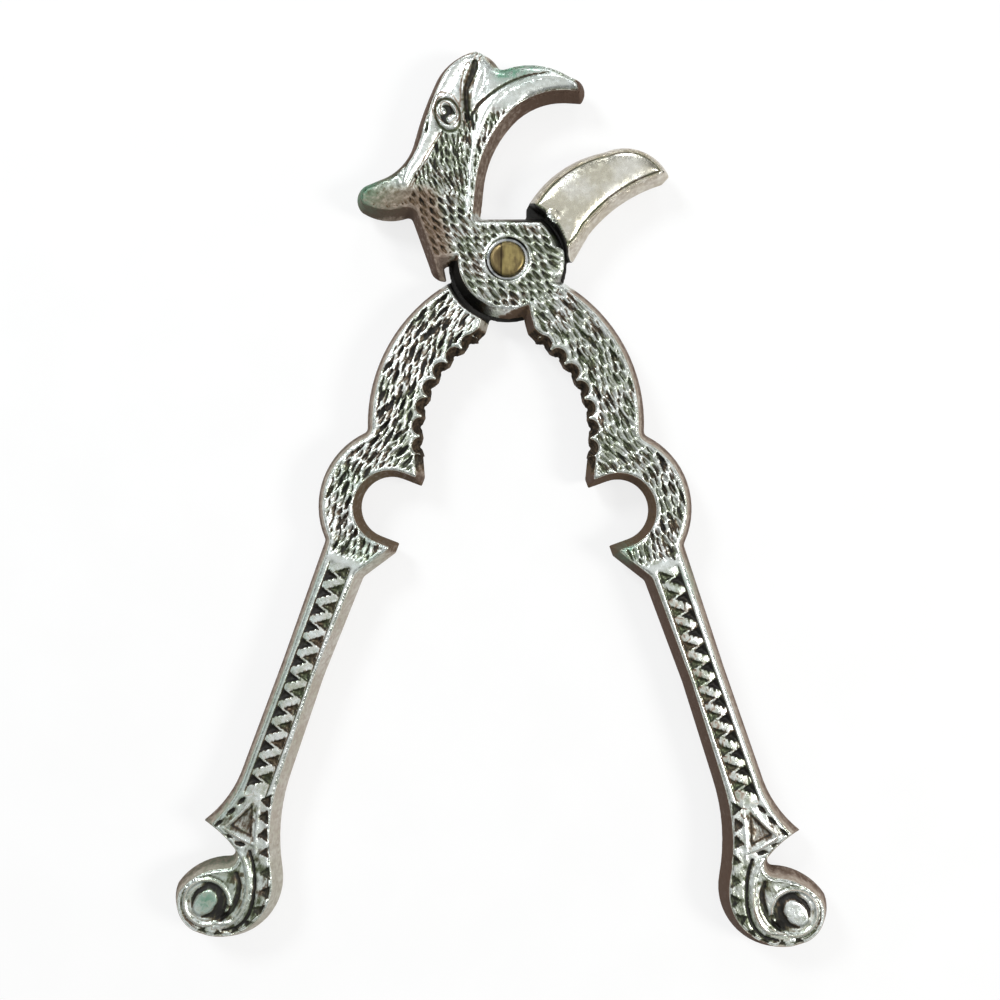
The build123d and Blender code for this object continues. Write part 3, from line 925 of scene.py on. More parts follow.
@dataclass
class FrontLever(Casting):
    """The bird's head, the disc in front of the pivot and the right handle."""

    node: str = "front_lever"
    body: Body = Body.FRONT
    handle_angle: float = 19.9
    mirrored: bool = False
    # The right handle's patina and painted shade are lightened on its arc, bulge and scroll, painting it as more
    # brightly lit.
    arc_darkening: float = 0.7
    bulge_darkening: float = 0.8
    scroll_darkening: float = 0.8

    def lap_shift(self, spots: np.ndarray) -> np.ndarray:
        """Widen the disc's face towards the jaw's heel, where its wall stands upright."""
        x, y, z = spots.T
        radius = np.hypot(x, y)
        bearing = np.degrees(np.arctan2(y, x))
        facing = smooth(-24.0, -14.0, bearing) * smooth(16.0, 8.0, bearing)
        lifted = smooth(5.0, 8.8, z)
        return 1.25 * facing * lifted * smooth(7.4, 9.0, radius) * smooth(12.5, 11.0, radius) / np.maximum(radius, 1.0)

    def hollows(self, spots: np.ndarray, normals: np.ndarray) -> np.ndarray:
        """Return the patina and painted shade round the disc's wall, darker towards the lower left and the upper
        right, and under the lap.
        """
        x, y, z = spots.T
        radius = np.hypot(x, y)
        wall = smooth(0.75, 0.5, np.abs(normals[:, 2]))
        bearing = np.degrees(np.arctan2(y, x))
        left = smooth(-112.0, -125.0, bearing) * (bearing < 0) + smooth(20.0, 35.0, bearing) * smooth(95.0, 85.0, bearing)
        below = smooth(5.2, 4.2, z)
        disc = wall * smooth(11.0, 10.7, radius) * (0.35 + 0.65 * left)
        return np.maximum(disc, smooth(11.6, 11.2, radius) * below)

    def carve_top(self, carving: Carving, inset: np.ndarray) -> None:
        """Carve the disc, neck, crest, eye and beak."""
        plan = self.head
        places = carving.places
        x, y = places.T
        radius = np.hypot(x, y)
        crest = plan.crest.share(places)
        on_smooth = (crest < 1.1) | (plan.beak_rim.share(places) < 1.3)
        for sx, sy, reach in plan.smooth_spots:
            on_smooth |= np.hypot(x - sx, y - sy) < reach
        eye_off = turned(places - np.array(plan.eye_centre), plan.eye_lean)
        eye = np.hypot(eye_off[:, 0] / plan.eye_reach[0], eye_off[:, 1] / plan.eye_reach[1])
        on_smooth |= eye < 1.4
        textured = (inset > 0.4) & ~on_smooth & (radius > 4.7) & (y < 26.5)
        base = smooth(0.25, 0.7, inset) * smooth(4.1, 4.8, radius) * smooth(31.0, 27.0, y)
        carving.drop += plan.texture_drop * base
        carving.darken(0.3 * base)
        neck_share = y + 0.35 * x
        on_disc = smooth(9.5, 6.5, neck_share)
        shown = smooth(0.2, 0.5, inset) * smooth(4.2, 4.7, radius) * (~on_smooth | (inset < 0.4))
        shown = shown * smooth(28.0, 25.5, y)
        for net, share in (
            (Net(1.75, 4.3, 0.40, 0.26, 21, 0.62), on_disc),
            (Net(0.95, 4.4, 0.34, 0.3, 24, 0.6), 1.0 - on_disc),
        ):
            net.cut(carving, plan.lean_heights, plan.leans, shown * share)
        carving.chased = shown * 1.0
        cuts = AlmondCuts(2.3, 4.6, 1.3, 0.32, 0.3, 0.4, 23, 28.0, 0.85, 1.0)
        self.cut_field(carving, cuts, plan.lean_heights, plan.leans, textured & (neck_share > 9.0))
        self._carve_face(carving, inset, crest)
        self._carve_eye(carving, eye)

    def _carve_face(self, carving: Carving, inset: np.ndarray, crest: np.ndarray) -> None:
        """Carve the crest's band, the flick, the cheek and the beak.

        Args:
            carving: The head's face.
            inset: How far inside the rim each point lies.
            crest: Distance from the crest's line as a share of its half width.
        """
        plan = self.head
        x, y = carving.places.T
        upper = smooth(28.0, 31.0, y + 0.35 * np.abs(x))
        carving.drop += upper * 0.5 * np.clip(1.0 - inset / 2.0, 0.0, 1.0) ** 2
        slope = smooth(1.0, 2.1, crest) * (x < -9.0) * smooth(9.0, 12.0, y) * smooth(3.4, 2.2, inset)
        carving.drop += 0.5 * slope
        carving.darken(0.3 * slope * smooth(0.2, 0.6, inset))
        flick = smooth(-16.8, -19.0, x) * smooth(8.0, 10.0, y)
        rough = lumps(carving.places, 0.55, 41)
        carving.drop += flick * (0.22 + 0.2 * rough)
        carving.darken(flick * smooth(0.1, 0.8, rough) * 0.4)
        carving.ridge(plan.crest, 0.0, 0.7)
        cheek = plan.cheek_groove.share(carving.places, 4.0)
        carving.darken((0.45 + 0.25 * rough) * smooth(2.6, 1.0, cheek) * smooth(35.3, 33.6, y))
        carving.groove(plan.brow_groove, 0.2, 0.35)
        carving.groove(plan.cheek_groove, 0.5, 0.85)
        carving.ridge(plan.cheek_ridge, 0.0, 0.3)
        carving.groove(plan.beak_groove, 0.35, 0.8)
        carving.ridge(plan.leaf, 0.04, 0.2)
        carving.ridge(plan.curl, 0.04, 0.25)
        carving.ridge(plan.beak_rim, 0.0, 0.25)
        carving.almond((-14.9, 24.6), 8.0, 1.9, 0.62, 0.3, 0.9, 1.0)
        stamp = Path(((-14.7, 26.0), (-14.95, 24.6), (-15.1, 23.4)), (0.2, 0.34, 0.2))
        carving.ridge(stamp, 0.06, 0.15)

    def _carve_eye(self, carving: Carving, eye: np.ndarray) -> None:
        """Carve the eye: a ring in a groove, a sunk pupil and a small bright ball.

        Args:
            carving: The head's face.
            eye: Distance from the eye's middle as a share of the ring's reach.
        """
        plan = self.head
        x, y = carving.places.T
        outside = np.clip(1.0 - ((eye - 1.22) / 0.16) ** 2, 0.0, 1.0)
        carving.drop += 0.28 * outside
        carving.darken(0.75 * outside)
        ring = np.abs(eye - 0.93) / 0.19
        inside = eye < 0.78
        carving.drop[inside] = 0.5
        carving.patina[inside] = 0.95
        ringed = ring < 1.0
        carving.drop[ringed] = (0.0 + 0.26 * ring**2)[ringed]
        carving.patina[ringed] = (0.5 * smooth(0.6, 1.0, ring))[ringed]
        ball = np.hypot(x - (plan.eye_centre[0] + 0.75), y - (plan.eye_centre[1] - 0.8)) / 1.0
        standing = ball < 1.0
        carving.drop[standing] = (0.42 * ball**2)[standing]
        carving.patina[standing] = (0.8 * smooth(0.8, 1.0, ball))[standing]
        lid = np.hypot(x - (plan.eye_centre[0] - 1.0), y - (plan.eye_centre[1] + 0.7)) / 0.75
        raised = lid < 1.0
        carving.drop[raised] = (0.08 + 0.35 * lid**2)[raised]
        carving.patina[raised] = (0.7 * smooth(0.7, 1.0, lid))[raised]

    def stains_and_shade(self, spots: np.ndarray, normals: np.ndarray) -> dict[StainAndShade, np.ndarray]:
        """Return where verdigris and polish lie on the front lever, and where brown shade and reflection are painted
        on its walls and at the neck's foot.
        """
        x, y, z = spots.T
        wall, inner, own = self.handle_masks(spots, normals)
        head = y > 8.3
        facing_bite = smooth(-0.1, 0.4, normals[:, 0] - 0.6 * normals[:, 1])
        # Painted brown shade and reflection: on the handle's inner walls, the beak's inner wall (stronger towards +X),
        # the walls under the flick, the neck's left walls and foot, and the handle's outer walls, stronger lower down.
        beak_wall = wall * head * facing_bite * (0.68 + 0.32 * smooth(-1.0, 7.0, x))
        under_flick = wall * head * smooth(0.1, 0.6, -normals[:, 1]) * (x < -12.0)
        left_wall = 0.85 * wall * (y > -6.0) * (x < -4.0) * smooth(0.0, 0.5, -normals[:, 0])
        foot = smooth(-7.5, -12.0, x + 0.25 * y) * smooth(15.5, 11.0, y) * smooth(-6.0, -3.0, y) * (x < -4)
        outer = wall * (1.0 - inner) * (own[:, 1] < -9.0) * (0.45 + 0.3 * smooth(7.6, 6.0, z))
        parts = [inner * wall, beak_wall, under_flick, left_wall, 0.6 * foot, outer]
        green = blotch(spots[:, :2], (1.2, 34.6), 2.6) + 0.8 * blotch(spots[:, :2], (4.4, 35.4), 2.4)
        green = green + 0.9 * blotch(spots[:, :2], (-1.0, 33.4), 1.5)
        green = green + 0.85 * blotch(spots[:, :2], (-25.6, 12.6), 2.6) + 0.35 * blotch(spots[:, :2], (-22.0, 13.5), 4.0)
        green = green + 0.9 * blotch(own, (2.6, -57.0), 1.8)
        green = green + 0.45 * blotch(own, (10.2, -66.0), 2.6)
        return {
            StainAndShade.VERDIGRIS: green,
            StainAndShade.SHADE_AND_REFLECTION: np.maximum.reduce(parts),
            StainAndShade.POLISH: np.zeros(len(x)),
        }


@dataclass
class RearLever(Casting):
    """The smooth lower jaw, the disc behind the pivot and the left handle."""

    node: str = "rear_lever"
    body: Body = Body.REAR
    handle_angle: float = 21.3
    mirrored: bool = True
    bead: tuple[float, float, float] = (8.34, 7.77, 1.3)

    def lap_shift(self, spots: np.ndarray) -> np.ndarray:
        """Bring the jaw's shoulder nearer to the front disc."""
        x, y, z = spots.T
        radius = np.hypot(x, y)
        bearing = np.degrees(np.arctan2(y, x))
        facing = smooth(-4.0, 6.0, bearing) * smooth(74.0, 60.0, bearing)
        near = smooth(10.9, 11.2, radius) * smooth(13.4, 11.8, radius)
        return -0.7 * facing * near * smooth(4.5, 5.0, z) / np.maximum(radius, 1.0)

    def hollows(self, spots: np.ndarray, normals: np.ndarray) -> np.ndarray:
        """Return the patina and painted shade in the lap that the front disc lies in, lighter towards the lower right.
        """
        x, y, z = spots.T
        radius = np.hypot(x, y)
        bearing = np.degrees(np.arctan2(y, x))
        right = smooth(-75.0, -60.0, bearing) * smooth(-20.0, -38.0, bearing)
        bead = smooth(1.2, 1.5, np.hypot(x - self.bead[0], y - self.bead[1]))
        above = smooth(3.9, 4.3, z) * smooth(11.95, 11.75, radius)
        rim = smooth(11.6, 11.3, radius) * smooth(0.8, 1.6, z) * (1.0 - 0.55 * right)
        return np.maximum(above * (1.0 - 0.5 * right), rim) * np.maximum(bead, z < 4.8)

    def carve_top(self, carving: Carving, inset: np.ndarray) -> None:
        """Pillow the jaw and cut the texture of the disc's back."""
        plan = self.head
        x, y = carving.places.T
        radius = np.hypot(x, y)
        bead_away = np.hypot(x - self.bead[0], y - self.bead[1])
        jaw = smooth(11.4, 12.2, radius) * (y > 0) * (x > 0) * smooth(1.1, 1.6, bead_away)
        carving.drop += jaw * 0.7 * np.clip(1.0 - inset / 2.6, 0.0, 1.0) ** 2
        carving.darken(jaw * 0.75 * np.clip(1.0 - np.abs(inset - 0.4) / 0.3, 0.0, 1.0))
        back = smooth(11.6, 11.3, radius)
        carving.drop += plan.texture_drop * back * smooth(0.3, 0.8, inset) * smooth(4.1, 4.8, radius)
        textured = (radius < 11.0) & (radius > 4.7) & (inset > 0.4)
        cuts = AlmondCuts(1.62, 4.1, 2.0, 0.76, 0.46, 0.12, 31, -38.0, 0.5, 1.0)
        self.cut_field(carving, cuts, plan.lean_heights, tuple(-lean for lean in plan.leans), textured)

    def stains_and_shade(self, spots: np.ndarray, normals: np.ndarray) -> dict[StainAndShade, np.ndarray]:
        """Return where verdigris and polish lie on the rear lever, and where brown shade and reflection are painted on
        its walls and under the jaw.
        """
        x, y, z = spots.T
        wall, inner, own = self.handle_masks(spots, normals)
        jaw = smooth(11.6, 12.2, np.hypot(x, y)) * (y > 0) * (x > 0)
        teeth = smooth(-39.5, -38.0, own[:, 1]) * smooth(-13.0, -15.0, own[:, 1])
        notch = smooth(-58.0, -56.0, own[:, 1]) * smooth(-41.0, -43.0, own[:, 1])
        # Painted brown shade and reflection on the inner walls, stronger at the teeth and the notch, on the outer
        # walls, stronger lower down, and under the jaw.
        inner_tone = 0.36 + 0.5 * teeth + 0.46 * notch
        outer = wall * (1.0 - inner) * (own[:, 1] < -9.0) * (0.45 + 0.3 * smooth(7.6, 6.0, z))
        under_jaw = 0.3 * wall * jaw
        green = 0.8 * blotch(own, (8.6, -128.4), 2.2) + 0.35 * blotch(own, (6.0, -124.0), 8.0)
        green = green + 0.5 * blotch(own, (5.0, -58.5), 3.0) + 0.3 * blotch(own, (11.0, -46.0), 5.0)
        rope_side = smooth(0.2, 1.6, own[:, 0] - 7.9) * smooth(-62.0, -66.0, own[:, 1]) * smooth(-118.0, -112.0, own[:, 1])
        green = green + 0.4 * rope_side * (np.abs(normals[:, 2]) > 0.3)
        arc_top = 0.25 * blotch(own, (4.0, -17.0), 5.0)
        return {
            StainAndShade.VERDIGRIS: green + arc_top,
            StainAndShade.SHADE_AND_REFLECTION: np.maximum.reduce([inner * wall * inner_tone, outer, under_jaw]),
            StainAndShade.POLISH: jaw,
        }


def bake(piece: bpy.types.Object) -> None:
    """Apply a piece's modifiers to its mesh."""
    graph = bpy.context.evaluated_depsgraph_get()
    fresh = bpy.data.meshes.new_from_object(piece.evaluated_get(graph))
    piece.modifiers.clear()
    piece.data = fresh


def lathe(name: str, profile: tuple[Point, ...], segments: int = 96) -> bpy.types.Object:
    """Turn a profile about the pivot axis.

    Args:
        name: The piece's name.
        profile: Rows of radius and height, from axis to axis or round a ring.
        segments: Steps round.

    Returns:
        The turned piece.
    """
    shape = bmesh.new()
    corners = [shape.verts.new((r * MILLIMETRE, 0.0, z * MILLIMETRE)) for r, z in profile]
    pairs = list(zip(corners, corners[1:]))
    if profile[0][0] > 0:
        pairs.append((corners[-1], corners[0]))
    edges = [shape.edges.new(pair) for pair in pairs]
    bmesh.ops.spin(
        shape,
        geom=[*corners, *edges],
        cent=(0.0, 0.0, 0.0),
        axis=(0.0, 0.0, 1.0),
        angle=math.tau,
        steps=segments,
        use_merge=True,
    )
    bmesh.ops.remove_doubles(shape, verts=shape.verts, dist=1e-7)
    bmesh.ops.recalc_face_normals(shape, faces=shape.faces)
    mesh = bpy.data.meshes.new(name)
    shape.to_mesh(mesh)
    shape.free()
    mesh.polygons.foreach_set("use_smooth", [True] * len(mesh.polygons))
    piece = bpy.data.objects.new(name, mesh)
    bpy.context.scene.collection.objects.link(piece)
    return piece


@dataclass
class Rivet:
    """The brass rivet, with a hammered front head that stands in its washer."""

    shank: float = 2.4
    head: float = 3.05
    back_head: float = 0.7
    front_low: float = 8.6
    front_high: float = 9.3
    dents: tuple[tuple[float, float, float], ...] = (
        (0.7, 0.9, 0.5),
        (1.4, -0.8, 0.6),
        (0.1, -1.6, 0.5),
        (-1.9, 0.7, 0.6),
    )

    def build(self, finish: bpy.types.Material) -> bpy.types.Object:
        """Turn the rivet and dent its head."""
        profile = (
            (0.0, 0.04),
            (2.0, 0.02),
            (2.7, 0.0),
            (2.95, 0.08),
            (self.head, 0.22),
            (self.head, self.back_head - 0.06),
            (self.head - 0.06, self.back_head),
            (self.shank, self.back_head),
            (self.shank, self.front_low),
            (self.head - 0.06, self.front_low),
            (self.head, self.front_low + 0.06),
            (self.head, self.front_high - 0.34),
            (2.98, self.front_high - 0.18),
            (2.8, self.front_high - 0.07),
            (2.5, self.front_high - 0.01),
            (2.2, self.front_high),
            (1.8, self.front_high - 0.02),
            (1.4, self.front_high - 0.04),
            (1.0, self.front_high - 0.06),
            (0.5, self.front_high - 0.07),
            (0.0, self.front_high - 0.07),
        )
        piece = lathe("pivot_rivet_peened", profile)
        for point in piece.data.vertices:
            x, y, z = point.co / MILLIMETRE
            if z > self.front_high - 0.2:
                facet = max(0.0, -1.0 - x) * 0.08
                pressed = sum(0.05 * math.exp(-((x - a) ** 2 + (y - b) ** 2) / c**2) for a, b, c in self.dents)
                point.co.z = (z - facet - pressed) * MILLIMETRE
        piece.data.update()
        piece.data.materials.append(finish)
        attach(piece, Body.FRONT.value)
        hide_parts("pivot_rivet")
        return piece


@dataclass
class Washer:
    """A turned washer with a rounded top and soft edges."""

    node: str
    low: float
    high: float
    bore: float = 2.42
    rim: float = 3.9
    soft: float = 0.12
    crown: float = 0.16

    def build(self, finish: bpy.types.Material) -> bpy.types.Object:
        """Turn the washer."""
        profile = (
            (self.bore, self.low + self.soft),
            (self.bore + self.soft, self.low),
            (self.rim - self.soft, self.low),
            (self.rim, self.low + self.soft),
            (self.rim, self.high - self.soft - self.crown),
            (self.rim - 0.04, self.high - self.crown),
            (3.72, self.high - 0.05),
            (3.55, self.high),
            (3.4, self.high - 0.01),
            (3.22, self.high - 0.08),
            (3.08, self.high - self.crown),
            (self.bore + self.soft, self.high - self.crown),
            (self.bore, self.high - self.soft - self.crown),
        )
        piece = lathe(self.node + "_turned", profile)
        piece.data.materials.append(finish)
        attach(piece, Body.FRONT.value)
        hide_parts(self.node)
        return piece


@dataclass
class Sheet:
    """A short hand for building a material's nodes."""

    name: str
    material: bpy.types.Material = field(init=False)
    tree: bpy.types.NodeTree = field(init=False)
    output: bpy.types.Node = field(init=False)
    place: bpy.types.NodeSocket = field(init=False)

    def __post_init__(self) -> None:
        """Start an empty material."""
        self.material = bpy.data.materials.new(self.name)
        self.material.use_nodes = True
        self.tree = self.material.node_tree
        self.tree.nodes.clear()
        self.output = self.tree.nodes.new("ShaderNodeOutputMaterial")
        self.place = self.tree.nodes.new("ShaderNodeTexCoord").outputs["Object"]

    def wire(self, value: object, socket: bpy.types.NodeSocket) -> None:
        """Link an output to a socket, or set the socket to a plain value."""
        if isinstance(value, bpy.types.NodeSocket):
            self.tree.links.new(value, socket)
        else:
            socket.default_value = value

    def noise(
        self,
        scale: float,
        detail: float = 4.0,
        rough: float = 0.55,
        stretch: tuple[float, float, float] | None = None,
        source: bpy.types.NodeSocket | None = None,
    ) -> bpy.types.NodeSocket:
        """Return a noise whose cells are about 1/scale of the source's unit wide."""
        node = self.tree.nodes.new("ShaderNodeTexNoise")
        node.inputs["Scale"].default_value = scale
        node.inputs["Detail"].default_value = detail
        node.inputs["Roughness"].default_value = rough
        source = source or self.place
        if stretch:
            mapping = self.tree.nodes.new("ShaderNodeMapping")
            mapping.inputs["Scale"].default_value = stretch
            self.tree.links.new(source, mapping.inputs["Vector"])
            source = mapping.outputs["Vector"]
        self.tree.links.new(source, node.inputs["Vector"])
        return node.outputs["Fac"]

    def attribute(self, tone: StainAndShade) -> bpy.types.NodeSocket:
        """Return a point attribute's number."""
        node = self.tree.nodes.new("ShaderNodeAttribute")
        node.attribute_name = tone.value
        return node.outputs["Fac"]

    def grain(self) -> tuple[bpy.types.NodeSocket, bpy.types.NodeSocket]:
        """Return the place across and along the grain, and how chased the face is."""
        node = self.tree.nodes.new("ShaderNodeAttribute")
        node.attribute_name = GRAIN
        split = self.tree.nodes.new("ShaderNodeSeparateXYZ")
        self.tree.links.new(node.outputs["Vector"], split.inputs[0])
        return node.outputs["Vector"], split.outputs["Z"]

    def ramp(
        self,
        value: bpy.types.NodeSocket,
        low: float,
        high: float,
        start: float = 0.0,
        end: float = 1.0,
        kind: str = "SMOOTHSTEP",
    ) -> bpy.types.NodeSocket:
        """Map low to high onto start to end."""
        node = self.tree.nodes.new("ShaderNodeMapRange")
        node.interpolation_type = kind
        self.tree.links.new(value, node.inputs["Value"])
        for name, number in (("From Min", low), ("From Max", high), ("To Min", start), ("To Max", end)):
            node.inputs[name].default_value = number
        return node.outputs["Result"]

    def math(self, kind: str, a: object, b: object, clamp: bool = False) -> bpy.types.NodeSocket:
        """Combine two numbers."""
        node = self.tree.nodes.new("ShaderNodeMath")
        node.operation = kind
        node.use_clamp = clamp
        self.wire(a, node.inputs[0])
        self.wire(b, node.inputs[1])
        return node.outputs[0]

    def mix(self, share: object, a: object, b: object) -> bpy.types.NodeSocket:
        """Blend two colours."""
        node = self.tree.nodes.new("ShaderNodeMix")
        node.data_type = "RGBA"
        sockets = [s for s in node.inputs if s.type == "RGBA"]
        self.wire(share, node.inputs[0])
        self.wire(a, sockets[0])
        self.wire(b, sockets[1])
        return next(s for s in node.outputs if s.type == "RGBA")

    def bump(
        self,
        height: bpy.types.NodeSocket,
        strength: float,
        distance: float,
        below: bpy.types.NodeSocket | None = None,
    ) -> bpy.types.NodeSocket:
        """Return a normal bent by a height."""
        node = self.tree.nodes.new("ShaderNodeBump")
        node.inputs["Strength"].default_value = strength
        node.inputs["Distance"].default_value = distance
        self.tree.links.new(height, node.inputs["Height"])
        if below is not None:
            self.tree.links.new(below, node.inputs["Normal"])
        return node.outputs["Normal"]

    def surface(self, **sockets: object) -> bpy.types.Material:
        """Finish with a principled surface."""
        node = self.tree.nodes.new("ShaderNodeBsdfPrincipled")
        for name, value in sockets.items():
            self.wire(value, node.inputs[name.replace("_", " ")])
        self.tree.links.new(node.outputs["BSDF"], self.output.inputs["Surface"])
        return self.material


@dataclass(frozen=True)
class AntiqueSilver:
    """Cast metal plated in silver, with black patina left in the hollows, painted shade under the hollows' upper left
    walls, in the tooth gaps and in the lap, and painted brown shade and reflection on the walls.
    """

    bright: Colour = (0.90, 0.95, 0.93, 1.0)
    dull: Colour = (0.545, 0.585, 0.475, 1.0)
    olive: Colour = (0.105, 0.125, 0.065, 1.0)
    umber: Colour = (0.125, 0.085, 0.052, 1.0)
    cream: Colour = (0.70, 0.67, 0.55, 1.0)
    pale: Colour = (0.90, 0.89, 0.81, 1.0)
    black: Colour = (0.014, 0.013, 0.011, 1.0)
    green: Colour = (0.15, 0.32, 0.22, 1.0)
    tan: Colour = (0.40, 0.33, 0.27, 1.0)
    brown: Colour = (0.112, 0.074, 0.055, 1.0)

    def build(self) -> bpy.types.Material:
        """Return the material."""
        sheet = Sheet("antique_silver")
        broad = sheet.noise(170.0, 5.0)
        mottle = sheet.noise(1100.0, 5.0, 0.65)
        grain = sheet.noise(5200.0, 3.0, 0.6)
        patina = sheet.attribute(StainAndShade.PATINA_AND_SHADE)
        green = sheet.attribute(StainAndShade.VERDIGRIS)
        brown = sheet.attribute(StainAndShade.SHADE_AND_REFLECTION)
        polish = sheet.attribute(StainAndShade.POLISH)

        blend = sheet.math("ADD", sheet.math("MULTIPLY", broad, 0.45), sheet.math("MULTIPLY", mottle, 0.55))
        lines, chased = sheet.grain()
        dull_share = sheet.math("MULTIPLY", sheet.ramp(blend, 0.6, 0.36), sheet.ramp(chased, 0.0, 0.4, 0.4, 1.0))
        metal = sheet.mix(dull_share, self.bright, self.dull)
        jaw = sheet.mix(sheet.ramp(broad, 0.4, 0.62), self.cream, self.pale)
        metal = sheet.mix(polish, metal, jaw)
        # brown is the painted brown shade and reflection on the walls: tan, then dark brown, rougher, less glossy and
        # less metallic.
        brown = sheet.math("MULTIPLY", brown, sheet.ramp(mottle, 0.25, 0.65, 0.7, 1.1))
        brown_share = sheet.ramp(brown, 0.04, 0.5)
        metal = sheet.mix(brown_share, metal, self.tan)
        metal = sheet.mix(sheet.ramp(brown, 0.3, 0.85), metal, self.brown)
        green_share = sheet.math("MULTIPLY", green, sheet.ramp(mottle, 0.36, 0.62, 0.35, 1.0), clamp=True)
        metal = sheet.mix(green_share, metal, self.green)
        uneven = sheet.ramp(mottle, 0.3, 0.7, -0.16, 0.16, "LINEAR")
        streaks = sheet.noise(2.3, 4.0, 0.62, stretch=(1.0, 0.2, 0.0), source=lines)
        scored = sheet.math("MULTIPLY", chased, sheet.ramp(streaks, 0.34, 0.66, 0.3, -0.3, "LINEAR"))
        # worn is patina and painted shade, with uneven mottling and scoring along the grain.
        worn = sheet.math("ADD", sheet.math("ADD", patina, uneven), scored)
        dark_share = sheet.ramp(worn, 0.06, 0.95, 0.0, 1.0, "LINEAR")
        speck = sheet.math("MULTIPLY", sheet.ramp(grain, 0.64, 0.74), 0.5)
        dark_share = sheet.math("MAXIMUM", dark_share, speck)
        umber_share = sheet.math("MAXIMUM", sheet.ramp(broad, 0.42, 0.58), brown_share)
        earth = sheet.mix(umber_share, self.olive, self.umber)
        colour = sheet.mix(sheet.ramp(dark_share, 0.05, 0.6), metal, earth)
        colour = sheet.mix(sheet.ramp(dark_share, 0.45, 1.0), colour, self.black)

        roughness = sheet.ramp(mottle, 0.3, 0.7, 0.18, 0.34)
        roughness = sheet.math("ADD", roughness, sheet.math("MULTIPLY", dark_share, 0.3))
        roughness = sheet.math("ADD", roughness, sheet.math("MULTIPLY", brown_share, 0.5), clamp=True)
        gloss = sheet.math("SUBTRACT", 0.5, sheet.math("MULTIPLY", brown_share, 0.42), clamp=True)
        metallic = sheet.math("SUBTRACT", 1.0, sheet.math("MULTIPLY", dark_share, 0.5))
        metallic = sheet.math("SUBTRACT", metallic, sheet.math("MULTIPLY", brown_share, 0.85))
        metallic = sheet.math("SUBTRACT", metallic, sheet.math("MULTIPLY", green_share, 0.4), clamp=True)
        normal = sheet.bump(mottle, 0.3, 0.00014)
        normal = sheet.bump(sheet.math("MULTIPLY", streaks, chased), 0.6, 0.00022, normal)
        normal = sheet.bump(grain, 0.25, 0.00004, normal)
        return sheet.surface(
            Base_Color=colour,
            Roughness=roughness,
            Metallic=metallic,
            Specular_IOR_Level=gloss,
            Normal=normal,
        )


@dataclass(frozen=True)
class DullBrass:
    """Peened brass, darker where it has tarnished, with painted shade on the left of its head."""

    fresh: Colour = (0.36, 0.29, 0.12, 1.0)
    aged_and_shaded: Colour = (0.12, 0.085, 0.045, 1.0)
    line: Colour = (0.02, 0.015, 0.011, 1.0)

    def build(self) -> bpy.types.Material:
        """Return the material."""
        sheet = Sheet("dull_brass")
        broad = sheet.noise(420.0, 4.0)
        streaks = sheet.noise(900.0, 4.0, 0.6, stretch=(1.0, 0.25, 1.0))
        blend = sheet.math("ADD", sheet.math("MULTIPLY", broad, 0.5), sheet.math("MULTIPLY", streaks, 0.5))
        split = sheet.tree.nodes.new("ShaderNodeSeparateXYZ")
        sheet.tree.links.new(sheet.place, split.inputs[0])
        # Painted shade: the left of the head, below X = -1.6 mm, leans towards the darker colour.
        aside = sheet.ramp(split.outputs["X"], -0.0016, -0.0008, 0.35, 1.0)
        colour = sheet.mix(sheet.math("MULTIPLY", sheet.ramp(blend, 0.35, 0.62), aside), self.aged_and_shaded, self.fresh)
        away = sheet.math("ABSOLUTE", sheet.math("ADD", split.outputs["X"], 0.0011), 0.0)
        line = sheet.ramp(away, 0.00006, 0.00026, 0.75, 0.0)
        colour = sheet.mix(line, colour, self.line)
        roughness = sheet.ramp(streaks, 0.3, 0.7, 0.3, 0.5)
        normal = sheet.bump(streaks, 0.35, 0.00008)
        return sheet.surface(Base_Color=colour, Roughness=roughness, Metallic=1.0, Normal=normal)


@dataclass(frozen=True)
class TurnedSteel:
    """Bright steel with faint rings from the lathe."""

    bright: Colour = (0.66, 0.68, 0.68, 1.0)
    dull: Colour = (0.30, 0.32, 0.33, 1.0)

    def build(self) -> bpy.types.Material:
        """Return the material."""
        sheet = Sheet("turned_steel")
        broad = sheet.noise(600.0, 4.0)
        rings = sheet.tree.nodes.new("ShaderNodeTexWave")
        rings.wave_type = "RINGS"
        rings.rings_direction = "Z"
        rings.inputs["Scale"].default_value = 1600.0
        rings.inputs["Distortion"].default_value = 1.0
        sheet.tree.links.new(sheet.place, rings.inputs["Vector"])
        colour = sheet.mix(sheet.ramp(broad, 0.35, 0.6), self.dull, self.bright)
        roughness = sheet.ramp(broad, 0.3, 0.7, 0.16, 0.3)
        normal = sheet.bump(rings.outputs["Fac"], 0.15, 0.00003)
        return sheet.surface(Base_Color=colour, Roughness=roughness, Metallic=1.0, Normal=normal)


